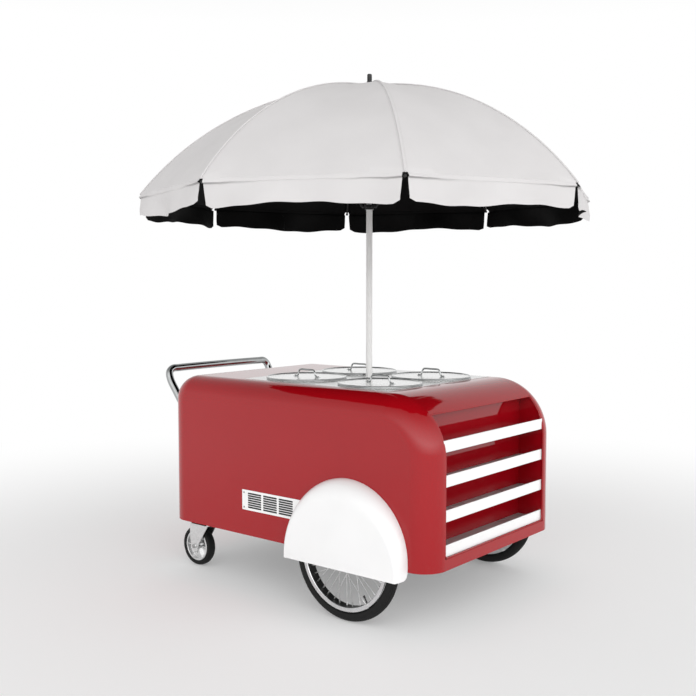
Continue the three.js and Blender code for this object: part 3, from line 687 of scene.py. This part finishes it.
# ---------- vents, handle and fenders ----------
def make_vent(side_name, side):
    low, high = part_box(f"vent_grille_{side_name}")
    face_in, face_out = side * (body_high.y + FIT), side * (body_high.y + 0.0025)
    outline = rounded_rectangle(low.x, high.x + 0.012, low.z, high.z, 0.004)
    panel = add_mesh(f"vent_panel_{side_name}", prism(outline, face_in, face_out), "white")
    rows, columns, slot_half, slot_wide, step = 7, 3, 0.0035, 0.081, 0.0915
    pitch = (high.z - low.z - 0.018) / rows
    slots = Shape()
    for x in (low.x + 0.034 + column * step for column in range(columns)):
        for z in (low.z + 0.009 + (row + 0.5) * pitch for row in range(rows)):
            slot = rounded_rectangle(x, x + slot_wide, z - slot_half, z + slot_half, 0.0028, 4)
            slots.add(prism(slot, face_in - side * 0.01, face_out + side * 0.01))
    arch = prism(fender_outline(0, -0.001, 0.2, 96), side * (body_high.y - 0.02), side * (body_high.y + 0.02))
    cut(panel, add_mesh("slots", (slots.verts, slots.faces), "white"), add_mesh("arch", arch, "white"))
    shade(panel, 35)
    soften(panel, 0.0006)
    settle(panel, "white", "cart", f"vent_grille_{side_name}")
    # A dark sheet behind the slots: painted shade for the inside of the body seen through them.
    behind = sorted((side * (body_high.y - 0.012), side * (body_high.y - 0.010)))
    shade_sheet = Shape(box(low.x + 0.024, high.x - 0.044, *behind, low.z + 0.003, high.z - 0.003))
    finish_piece(f"vent_shade_sheet_{side_name}", shade_sheet, "dark", "cart")
    screws, inset = Shape(), 0.012
    for z in (low.z + inset, high.z - inset):
        screws.add(screw_head(0.0042, 0.0022), 0, facing((0, side, 0), (low.x + inset, face_out, z)))
    finish_piece(f"vent_screws_{side_name}", screws, "screw", "cart")


def make_handle():
    half, low, high, reach, tube, screw_ring = 0.345, 0.665, 0.915, -0.970, 0.018, 0.0295
    start, backward = body_low.x - 0.004, (-1, 0, 0)
    side = [(start, half, low), (-0.850, half, 0.728), (-0.911, half, 0.806), (-0.953, half, 0.864),
            (reach + 0.003, half - 0.007, 0.897), (reach, half - 0.028, high - 0.002),
            (reach, half - 0.070, high)]
    path = catmull_rom([*side, *[(x, -y, z) for x, y, z in reversed(side)]], 10)
    flange = [(0, 0), (0.038, 0), (0.038, 0.004), (0.035, 0.0075), (0.024, 0.009), (0.021, 0.014), (0, 0.014)]
    shape = Shape(rod(path, tube, 32, (0, 1, 0)))
    for y in (-half, half):
        shape.add(turned(flange, 48), 0, facing(backward, (body_low.x - FIT, y, low + 0.002)))
        for angle in (math.pi / 4 + quarter for quarter in turns(4)):
            place = (body_low.x - 0.0075, y + screw_ring * math.cos(angle),
                     low + 0.002 + screw_ring * math.sin(angle))
            shape.add(screw_head(0.004, 0.003), 1, facing(backward, place))
    finish_piece("push_bar", shape, "chrome screw", "cart", "push_handle", angle=40)


def fender_outline(blend, inset, floor, steps):
    """The arch as (x, z): tall at the body, blend 0, and lower on the outer face, blend 1."""
    half = 0.293 - 0.013 * blend - inset
    spring = 0.266 - 0.054 * blend
    rise = 0.559 - 0.083 * blend - inset - spring
    centre = 0.276
    arc = [(centre + half * math.cos(math.pi * i / steps), spring + rise * math.sin(math.pi * i / steps))
           for i in range(steps + 1)]
    return [(centre + half, floor), *arc, (centre - half, floor)]


def make_fender(side_name, side):
    low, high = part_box(f"fender_{side_name}")
    inner, outer = sorted((abs(low.y), abs(high.y)))
    edge_steps, lift, lift_deep, wall = 20, 0.027, 0.030, 0.003
    rings = []
    for i in range(edge_steps + 1):
        angle = math.pi / 2 * i / edge_steps
        out = (outer - inner) * math.sin(angle)
        raised = math.asin(max(0.0, 1 - out / lift_deep))
        floor = low.z + lift * (1 - math.cos(raised))
        outline = fender_outline(1 - math.cos(angle), 0, floor, 80)
        rings.append([(x, side * (inner + out), z) for x, z in outline])
    size = len(rings), len(rings[0])
    faces = grid_faces(*size, round_columns=False) + end_faces(*size)[1:]
    fender = add_mesh(f"wheel_arch_{side_name}", ([v for ring in rings for v in ring], faces), "white")
    orient_outward(fender, Vector(((low.x + high.x) / 2, side * inner, high.z / 2)))
    apply_modifier(fender, "SOLIDIFY", thickness=wall, offset=-1)
    shade(fender, 50)
    settle(fender, "white", "cart", f"fender_{side_name}")


def orient_outward(piece, inside):
    """Flips an open surface if its faces look towards a point inside it."""
    def flip(work):
        bmesh.ops.recalc_face_normals(work, faces=work.faces)
        if sum(f.normal.dot(f.calc_center_median() - inside) * f.calc_area() for f in work.faces) < 0:
            bmesh.ops.reverse_faces(work, faces=work.faces)
    rework(piece.data, flip)


# ---------- road wheels ----------
def tyre_profile(radius, thick, seat):
    """A round tyre with shallow grooves round its tread."""
    steps, groove = 36, 0.0013
    points = [(seat, -thick * 0.6)]
    for i in range(steps + 1):
        angle = math.pi * (i / steps - 0.5) * 1.25
        reach = thick - groove if abs(angle) < 1.0 and i % 4 == 0 else thick
        points.append((radius - thick + reach * math.cos(angle), reach * math.sin(angle)))
    return [*points, (seat, thick * 0.6)]


def mirrored(half):
    """A half profile that ends on the middle plane, and its mirror image."""
    return [*half, *[(r, -h) for r, h in half[-2::-1]]]


def rim_profile(seat):
    """The section of the rim: a bed for the tyre between two tall flat sides."""
    bed = [(seat - 0.008, 0.006), (seat - 0.004, 0.016), (seat, 0.019)]
    side = [(seat + 0.0004, 0.022), (seat - 0.001, 0.023), (seat - 0.014, 0.0222), (seat - 0.016, 0.0205)]
    return mirrored([*bed, *side, (seat - 0.0162, 0.0)])


def make_spokes(shape, reach, count=36):
    """Laced spokes, each crossing its neighbours, with a nipple at the rim."""
    flange, cross = 0.0225, 1.05
    for i in range(count):
        side = -1 if i % 2 == 0 else 1
        lean = cross if (i // 2) % 2 == 0 else -cross
        angle = 2 * math.pi * i / count
        start = Vector((flange * math.cos(angle + lean), side * flange, flange * math.sin(angle + lean)))
        end = Vector((reach * math.cos(angle), side * 0.003, reach * math.sin(angle)))
        along = (end - start).normalized()
        head = start + Vector((0, side * 0.0012, 0))
        shape.add(rod([start, end], 0.0011, 8, (0, 1, 0.01)), 1)
        shape.add(rod([end - along * 0.016, end - along * 0.004, end], 0.0030, 10, (0, 1, 0.01)), 1)
        shape.add(rod([head, head + Vector((0, side * 0.0016, 0))], 0.0022, 8), 1)


def make_road_wheel(name):
    low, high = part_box(f"tyre_{name}")
    radius, seat = (high.z - low.z) / 2, 0.2118
    body, place = f"road_wheel_{name}", Matrix.Translation((low + high) / 2)
    tyre = Shape(turned(tyre_profile(radius, 0.024, seat + 0.0016), 128, "Y"))
    finish_piece(f"road_tyre_{name}", tyre.moved(place), "rubber", body, f"tyre_{name}", angle=30)
    rim = Shape(turned(rim_profile(seat), 128, "Y"))
    valve = Matrix.Rotation(1.011, 4, "Y")
    for radius, reaches in ((0.003, (0.046, 0.020, 0.0145)), (0.0042, (0.050, 0.040))):
        rim.add(rod([(seat - reach, 0, 0) for reach in reaches], radius, side=(0, 1, 0)), 1, valve)
    # A black band inside the rim: painted reflection of the shade under the fender, seen on the rim's inner
    # face.
    bed, dark_reflection_band = seat - 0.0162, seat - 0.0168
    dark_reflection_band = [(bed, -0.0195), (dark_reflection_band, -0.0190), (dark_reflection_band, 0.0190), (bed, 0.0195)]
    rim.add(turned(dark_reflection_band, 128, "Y"), 1)
    finish_piece(f"road_rim_{name}", rim.moved(place), "rim black", body, f"rim_{name}")
    half = [(0.0106, -0.031), (0.0155, -0.031), (0.016, -0.029), (0.016, -0.0245), (0.0255, -0.0240),
            (0.0265, -0.0225), (0.0255, -0.0205), (0.016, -0.0190), (0.0138, -0.0140), (0.0132, 0.0)]
    hub = Shape(turned(mirrored(half), 48, "Y"))
    make_spokes(hub, 0.1935)
    for side in (-1, 1):
        for x, z in circle(0.0205, 12):
            hub.add(screw_head(0.0012, 0.0008), 1, facing((0, side, 0), (x, side * 0.0241, z)))
    finish_piece(f"spoked_hub_{name}", hub.moved(place), "rim zinc", body, f"hub_spokes_{name}")


def make_axle():
    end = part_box("axle")[1].y
    half = [(0, -end), (0.0075, -end), (0.009, 0.0015 - end), (0.010, 0.003 - end)]
    shape = Shape(turned([*half, *[(r, -h) for r, h in reversed(half)]], 32, "Y"))
    for side in (-1, 1):
        shape.add(hex_nut(0.0148, 0.0052), 0, facing((0, side, 0), (0, side * (end - 0.006), 0)))
    place = Matrix.Translation(middle("axle"))
    finish_piece("wheel_axle", shape.moved(place), "zinc", "cart", "axle", bevel=0.0006)


# ---------- casters ----------
def make_caster(name):
    """The plate and the fork are drawn round the king pin, a trail and the wheel's radius from its rear."""
    rear, trail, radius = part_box(f"caster_wheel_{name}")[0].x, 0.046, 0.071
    pin = Vector((rear + radius + trail, middle(f"caster_plate_{name}").y, 0))
    low, high = (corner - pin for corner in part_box(f"caster_plate_{name}"))
    wheel = middle(f"caster_tyre_{name}") - pin
    make_caster_plate(name, Matrix.Translation(pin), low, high)
    make_caster_fork(name, Matrix.Translation(pin), wheel.x, wheel.z, high.z)
    make_caster_wheel(name)


def make_caster_plate(name, place, low, high):
    under, top = high.z - 0.006, high.z - 0.0055
    shape = Shape(prism(rounded_rectangle(low.x, high.x, low.y, high.y, 0.009), under, high.z, "XY"))
    shape.add(turned([(0, low.z), (0.030, low.z), (0.034, low.z + 0.003), (0.034, top), (0, top)], 48))
    for x in (-0.054, 0.048):
        for y in (-0.036, 0.036):
            shape.add(hex_nut(0.0085, 0.0055), 1, facing((0, 0, -1), (x, y, under)))
            shape.add(rod([(x, y, high.z - 0.008), (x, y, high.z - 0.0145)], 0.0042), 1)
    finish_piece(f"caster_top_{name}", shape.moved(place), "zinc screw", "cart", f"caster_plate_{name}",
                 bevel=0.0008)


def make_caster_fork(name, place, x, z, top):
    """A bent fork whose wheel sits at x and z."""
    crown, roof, arm_in, arm_out, rear, front = 0.199, 0.207, 0.028, 0.032, -0.076, 0.050
    outline = rounded_outline([(rear, roof), (rear, 0.140), (x - 0.020, 0.070), (x + 0.020, 0.070),
                               (x + 0.024, 0.100), (front, roof)], 0.010, 5)
    shape = Shape(prism(rounded_rectangle(rear, front, -arm_out, arm_out, 0.012), crown, roof, "XY"))
    boss = [(0, 0), (0.012, 0), (0.0125, 0.001), (0.011, 0.0025), (0, 0.0025)]
    for side in (-1, 1):
        shape.add(prism(outline, side * arm_in, side * arm_out))
        shape.add(turned(boss, 32), 0, facing((0, side, 0), (x, side * arm_out, z)))
        shape.add(hex_nut(0.0095, 0.0055), 1, facing((0, side, 0), (x, side * (arm_out + 0.0022), z)))
    bearing = [(0, crown + 0.007), (0.037, crown + 0.007), (0.0375, crown + 0.012), (0.036, top - 0.018),
               (0.032, top - 0.0165), (0, top - 0.0165)]
    shape.add(turned(bearing, 48))
    bolt = arm_out + 0.009
    shape.add(rod([(x, -bolt, z), (x, bolt, z)], 0.0058, 20), 1)
    shape.add(hex_nut(0.010, 0.006), 1, facing((0, 0, -1), (0, 0, crown)))
    finish_piece(f"caster_yoke_{name}", shape.moved(place), "zinc screw", f"caster_swivel_{name}",
                 f"caster_fork_{name}", bevel=0.0009)


def make_caster_wheel(name):
    low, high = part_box(f"caster_tyre_{name}")
    radius, half = (high.z - low.z) / 2, (high.y - low.y) / 2
    body, place = f"caster_roller_{name}", Matrix.Translation((low + high) / 2)
    tread = [(0.0725, 0.002 - half), (0.0745, -half), (radius - 0.012, -half), (radius - 0.005, 0.003 - half),
             (radius - 0.0012, 0.010 - half), (radius, 0.016 - half)]
    tread += [(r, -h) for r, h in reversed(tread)]
    tyre = Shape(turned(tread, 80, "Y"))
    finish_piece(f"caster_tread_{name}", tyre.moved(place), "rubber", body, f"caster_tyre_{name}")
    rim = [(0.060, -0.004), (0.062, -0.019), (0.0665, -0.0195), (0.071, -0.0185), (0.0715, 0.0)]
    nave = [(0.0066, -0.024), (0.014, -0.024), (0.016, -0.022), (0.019, -0.006)]
    nave += [(r, -h) for r, h in reversed(nave)]
    disc = [(0.016, -0.0035), (0.0615, -0.0025), (0.0615, 0.0025), (0.016, 0.0035)]
    web = [(0.015, -0.017), (0.062, -0.014), (0.062, 0.014), (0.015, 0.017)]
    shape = Shape(turned(mirrored(rim), 72, "Y"), turned(nave, 40, "Y"), turned(disc, 72, "Y"))
    for angle in turns(6):
        shape.add(prism(web, -0.0028, 0.0028, "XY"), 0, Matrix.Rotation(angle, 4, "Y"))
    finish_piece(f"caster_hub_{name}", shape.moved(place), "zinc", body, f"caster_wheel_{name}", bevel=0.0008)


# ---------- parasol ----------
def dome(radius, drop=0.0):
    return DOME_CENTRE + math.sqrt((DOME_RADIUS - drop) ** 2 - radius * radius)


def make_mast():
    low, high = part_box("parasol_mast")
    radius = high.x
    profile = [(0, low.z), (radius, low.z), (radius, high.z - 0.002), (radius - 0.002, high.z), (0, high.z)]
    finish_piece("mast_tube", Shape(turned(profile, 40)), "mast", "parasol", "parasol_mast")
    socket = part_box("mast_socket")[0].z
    inner, outer, top = radius + FIT, radius + 0.006, DECK + FIT
    profile = [(0, socket), (outer, socket), (outer, top), (outer + 0.010, top),
               (outer + 0.012, top + 0.0012), (outer + 0.011, top + 0.0026),
               (outer + 0.004, top + 0.0032), (inner + 0.003, top + 0.0030),
               (inner, top + 0.0022), (inner, low.z - FIT), (0, low.z - FIT)]
    shape = Shape(turned(profile, 48))
    for x, y in circle(0.0255, 3):
        shape.add(screw_head(0.0028, 0.0014), 1, Matrix.Translation((x, y, top + 0.002)))
    finish_piece("mast_sleeve", shape, "steel screw", "cart", "mast_socket")


def notched_ring(inner, outer, low, high):
    """A ring with a notch for each rib."""
    root, first = outer - 0.004, 0.39
    corners = [(radius, angle + first + turn) for angle in turns(RIB_COUNT)
               for turn, radius in ((-0.16, root), (-0.10, root), (-0.10, outer), (0.10, outer))]
    hole = [(inner, angle) for _, angle in corners]
    rings = ((corners, low), (hole, low), (hole, high), (corners, high))
    verts = [(r * math.cos(a), r * math.sin(a), h) for ring, h in rings for r, a in ring]
    return verts, grid_faces(len(rings), len(corners), True)


def make_crown():
    low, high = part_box("parasol_crown")
    outer, inner = high.x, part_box("parasol_mast")[1].x + FIT
    half_way = (low.z + high.z) / 2
    shape = Shape(notched_ring(inner, outer, low.z + 0.002, half_way))
    profile = [(inner, half_way), (outer - 0.003, half_way), (outer - 0.004, high.z - 0.004),
               (inner + 0.004, high.z), (0, high.z), (0, high.z - 0.0085), (inner, high.z - 0.0085)]
    shape.add(turned(profile, 40))
    finish_piece("crown_notch", shape, "black", "parasol", "parasol_crown")


def make_finial():
    low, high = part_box("parasol_finial")
    base, tall = high.x, high.z - low.z
    knob = [(0, low.z), (base, low.z), (base, low.z + 0.009), (base - 0.005, low.z + 0.014),
            (0.0125, low.z + 0.019), (0.0105, low.z + 0.023), (0.0105, high.z - 0.006),
            (0.0100, high.z - 0.002), (0.0075, high.z), (0, high.z)]
    shape = Shape(turned(knob, 40))
    for z in (low.z + tall * (0.42 + 0.15 * k) for k in range(3)):
        shape.add(turned([(0.0103, z - 0.0012), (0.0112, z), (0.0103, z + 0.0012), (0.009, z)], 40))
    finish_piece("finial_knob", shape, "black", "parasol", "parasol_finial")


def make_runner():
    low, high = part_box("parasol_runner")
    inner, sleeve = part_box("parasol_mast")[1].x + 0.0005, high.z - 0.0095
    shape = Shape(notched_ring(inner, high.x, high.z - 0.010, high.z))
    shape.add(turned([(inner, low.z), (inner + 0.005, low.z), (inner + 0.006, low.z + 0.001),
                      (inner + 0.006, sleeve), (inner, sleeve)], 40))
    finish_piece("slide_runner", shape, "black", "runner", "parasol_runner")


def channel(width, height, wall):
    """The section of a folded steel channel, open side down, as (across, up) points."""
    w, h = width / 2, height / 2
    return [(-w, -h), (-w, h), (w, h), (w, -h), (w - wall, -h), (w - wall, h - wall), (-w + wall, h - wall),
            (-w + wall, -h)]


def make_ribs():
    hub, tip, drop, steps, ball, across = 0.030, PARASOL_RADIUS - 0.008, 0.014, 36, 0.0062, (0, 1, 0)
    start = Vector((hub, 0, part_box("parasol_runner")[1].z - 0.008))
    end = Vector((0.440, 0, dome(0.440, drop + 0.002)))  # the pin between rib and stretcher
    radii = [hub + (tip - hub) * i / steps for i in range(steps + 1)]
    path = [(radius, 0, dome(radius, drop)) for radius in radii]
    rib = Shape(swept(path, channel(0.0075, 0.0075, 0.0012), across))
    top = path[0][2]
    rib.add(rod([(hub - 0.004, 0, top), (hub + 0.030, 0, top - 0.0004)], 0.0036, side=across))
    rib.add(rod([end - Vector((0, 0.0046, 0)), end + Vector((0, 0.0046, 0))], 0.0026), 1)
    arc = [math.pi * i / 10 for i in range(11)]
    rib.add(turned([(ball * math.sin(a), -ball * math.cos(a)) for a in arc], 20), 0,
            Matrix.Translation((tip - 0.001, 0, path[-1][2] + 0.001)))
    along, aside = (end - start).normalized(), Vector((0, 0.007, 0))
    bar = [start + along * 0.003, start + along * 0.012, end - along * 0.012, end - along * 0.003]
    stretcher = Shape(swept([p + aside for p in bar], channel(0.0038, 0.0075, 0.0008), across))
    for point in (start, end):
        stretcher.add(rod([point + Vector((0, 0.0052, 0)), point + Vector((0, 0.0088, 0))], 0.0042, 16))
    for i in range(RIB_COUNT):
        spin = Matrix.Rotation(i * SECTOR, 4, "Z")
        for shape, node in ((rib, "rib"), (stretcher, "stretcher")):
            finish_piece(f"steel_{node}_{i + 1}", shape.moved(spin), "black zinc", f"{node}_arm_{i + 1}",
                         f"{node}_{i + 1}")


# ---------- canopy ----------
GORE_STEPS, GORE_COLUMNS = 30, 16
CAP_RADIUS = 0.040
VALANCE = 0.116
SAG = 0.008
SLIT = 0.010
FLAP_DROPS = (0, 0.02, 0.05, 0.09, 0.125, 0.145, 0.158, 0.170, 0.185, 0.21, 0.26, 0.34, 0.45, 0.58, 0.72,
              0.86, 1)  # rows of points down a flap, closest in the fold below the hem
CHORD = math.cos(SECTOR / 2)
HALF_SIDE = PARASOL_RADIUS * math.sin(SECTOR / 2)  # half of one side of the octagonal hem


def smooth(value):
    value = max(0.0, min(1.0, value))
    return value * value * (3 - 2 * value)


def skin_point(share, angle):
    """A point of the stretched skin: share runs from the apex, 0, to the hem, 1; angle is from the rib."""
    slope = STEEPEST * share
    across = SECTOR / 2 - abs(angle)
    toward_middle = min(1.0, abs(angle) / (SECTOR / 2))
    sag = SAG * (1 - (1 - toward_middle) ** 2) * math.sin(math.pi * share) ** 0.8
    radius = DOME_RADIUS * math.sin(slope) * CHORD / math.cos(across) - sag * math.sin(slope)
    height = DOME_CENTRE + DOME_RADIUS * math.cos(slope) - sag * math.cos(slope)
    return radius * math.cos(angle), radius * math.sin(angle), height


def flap_point(gore, drop, side, out):
    """A point of the hanging flap: drop from the hem, 0, to the bottom, 1; out from the slit, 0, to the
    middle, 1."""
    slit = SLIT + 0.006 * drop ** 1.2
    aside = slit + (HALF_SIDE - slit) * out
    lane = (gore if side > 0 else gore - 1) % RIB_COUNT  # the flap shared with the next rib on that side
    along = (aside - HALF_SIDE) * side + 2 * HALF_SIDE * lane
    wave = math.sin(along * 11.0 + lane * 1.9) + 0.6 * math.sin(along * 21.0 + lane * 0.7)
    fold = 0.25 + 0.75 * (1 - smooth(aside / 0.20)) + 0.12 * math.sin(along * 17.0 + lane)
    roll = -0.0008 * math.sin(math.pi * min(1.0, drop / 0.04))
    roll += 0.0085 * fold * (smooth(drop / 0.13) - smooth((drop - 0.145) / 0.03))
    swing = (0.015 * wave + 0.004) * smooth(drop / 0.9)
    curl = -0.008 * drop * math.exp(-aside / 0.03)
    corner = 0.013 * math.exp(-(aside - slit) / 0.010) * smooth((drop - 0.5) / 0.5)
    rise = 0.014 + 0.002 * math.cos((lane - 0.5) * SECTOR + 0.9) + 0.008 * math.sin(along * 9.0 + lane * 2.3)
    rise += 0.002 * math.sin(along * 37.0 + lane)
    height = dome(PARASOL_RADIUS) - VALANCE * drop + rise * drop + corner
    middle_line = Matrix.Rotation(side * SECTOR / 2, 2)
    out_from_mast = PARASOL_RADIUS * CHORD + roll + swing + curl
    return (*(middle_line @ Vector((out_from_mast, side * (aside - HALF_SIDE)))), height)


def gore_grids(gore):
    """The gore's skin and its two half flaps, as grids of (point, cloth coordinate)."""
    start = math.asin(CAP_RADIUS / DOME_RADIUS) / STEEPEST
    shares = [start + (1 - start) * i / GORE_STEPS for i in range(GORE_STEPS + 1)]
    first = math.atan2(SLIT, PARASOL_RADIUS)
    angles = [first + (SECTOR / 2 - first) * (j / GORE_COLUMNS) for j in range(GORE_COLUMNS + 1)]
    both = [-a for a in reversed(angles)] + [0.0] + angles
    yield [[(skin_point(s, a), (a * s * PARASOL_RADIUS, s * HEM)) for a in both] for s in shares]
    for side in (-1, 1):
        grid = []
        for drop in FLAP_DROPS:
            row = []
            for angle in angles:
                aside = HALF_SIDE - PARASOL_RADIUS * CHORD * math.tan(SECTOR / 2 - angle)
                out = max(0.0, (aside - SLIT) / (HALF_SIDE - SLIT))
                point = flap_point(gore, drop, side, out) if drop else skin_point(1.0, side * angle)
                row.append((point, (side * aside, HEM + VALANCE * drop)))
            grid.append(row)
        yield grid


def make_gore(number):
    spin = Matrix.Rotation((number - 1) * SECTOR, 4, "Z")
    shape, cloth = Shape(), []
    for grid in gore_grids(number):
        verts = [point for row in grid for point, _ in row]
        cloth += [place for row in grid for _, place in row]
        shape.add((verts, grid_faces(len(grid), len(grid[0]), round_columns=False)), 0, spin)
    piece = add_mesh(f"canopy_gore_{number}", (shape.verts, shape.faces), "cloth lining", cloth=cloth)
    orient_outward(piece, Vector((0, 0, DOME_CENTRE)))
    apply_modifier(piece, "SOLIDIFY", thickness=0.0014, offset=-1, use_even_offset=True, material_offset=1,
                   material_offset_rim=0)
    shade(piece, 50)
    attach(piece, f"rib_arm_{number}")
    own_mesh(piece)
    return piece


def make_piping(number):
    """The piping over a rib, raised a little more near the apex."""
    spin, steps = Matrix.Rotation((number - 1) * SECTOR, 4, "Z"), 40
    path = []
    for i in range(steps + 1):
        share = 0.04 + 0.96 * i / steps
        radius = DOME_RADIUS + 0.0008 + 0.005 * math.exp(-9.0 * share)
        slope = STEEPEST * share
        path.append((radius * math.sin(slope), 0, DOME_CENTRE + radius * math.cos(slope)))
    section = [(0.0050 * u, 0.0030 * v) for u, v in circle(1, 12)]
    shape = Shape(swept(path, section, side=(0, 1, 0)))
    finish_piece(f"seam_piping_{number}", shape.moved(spin), "piping", f"rib_arm_{number}")


def make_canopy():
    numbers = range(1, RIB_COUNT + 1)
    gores = [make_gore(number) for number in numbers]
    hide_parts("canopy")
    for number in numbers:
        make_piping(number)
    radius, edge = DOME_RADIUS + 0.001, math.asin((CAP_RADIUS + 0.003) / DOME_RADIUS)
    cap = [(radius * math.sin(edge * i / 4), DOME_CENTRE + radius * math.cos(edge * i / 4)) for i in range(5)]
    low = [(r, z - 0.0012) for r, z in reversed(cap)]
    finish_piece("canopy_cap", Shape(turned([*cap, *low], 48)), "piping", "parasol")


# ---------- the whole cart ----------
def dress_cad_nodes():
    """The inside parts stay as the CAD made them and get a finish."""
    for node, finish in (("chassis", "chassis"), ("condensing_unit", "chassis"), ("display_liner", "liner"),
                         ("cold_tank", "white")):
        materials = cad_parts[node].data.materials
        materials.clear()
        materials.append(look[finish])


make_camera()
make_world()
make_floor()
dress_cad_nodes()
for make in (make_shell, make_opening_edge, make_shelves, make_worktop, make_tubs, make_lids, make_handle,
             make_axle):
    make()
for name, side in WHEEL_SIDES:
    make_vent(name, side)
    make_fender(name, side)
    make_road_wheel(name)
    make_caster(name)
for make in (make_mast, make_crown, make_finial, make_runner, make_ribs, make_canopy):
    make()
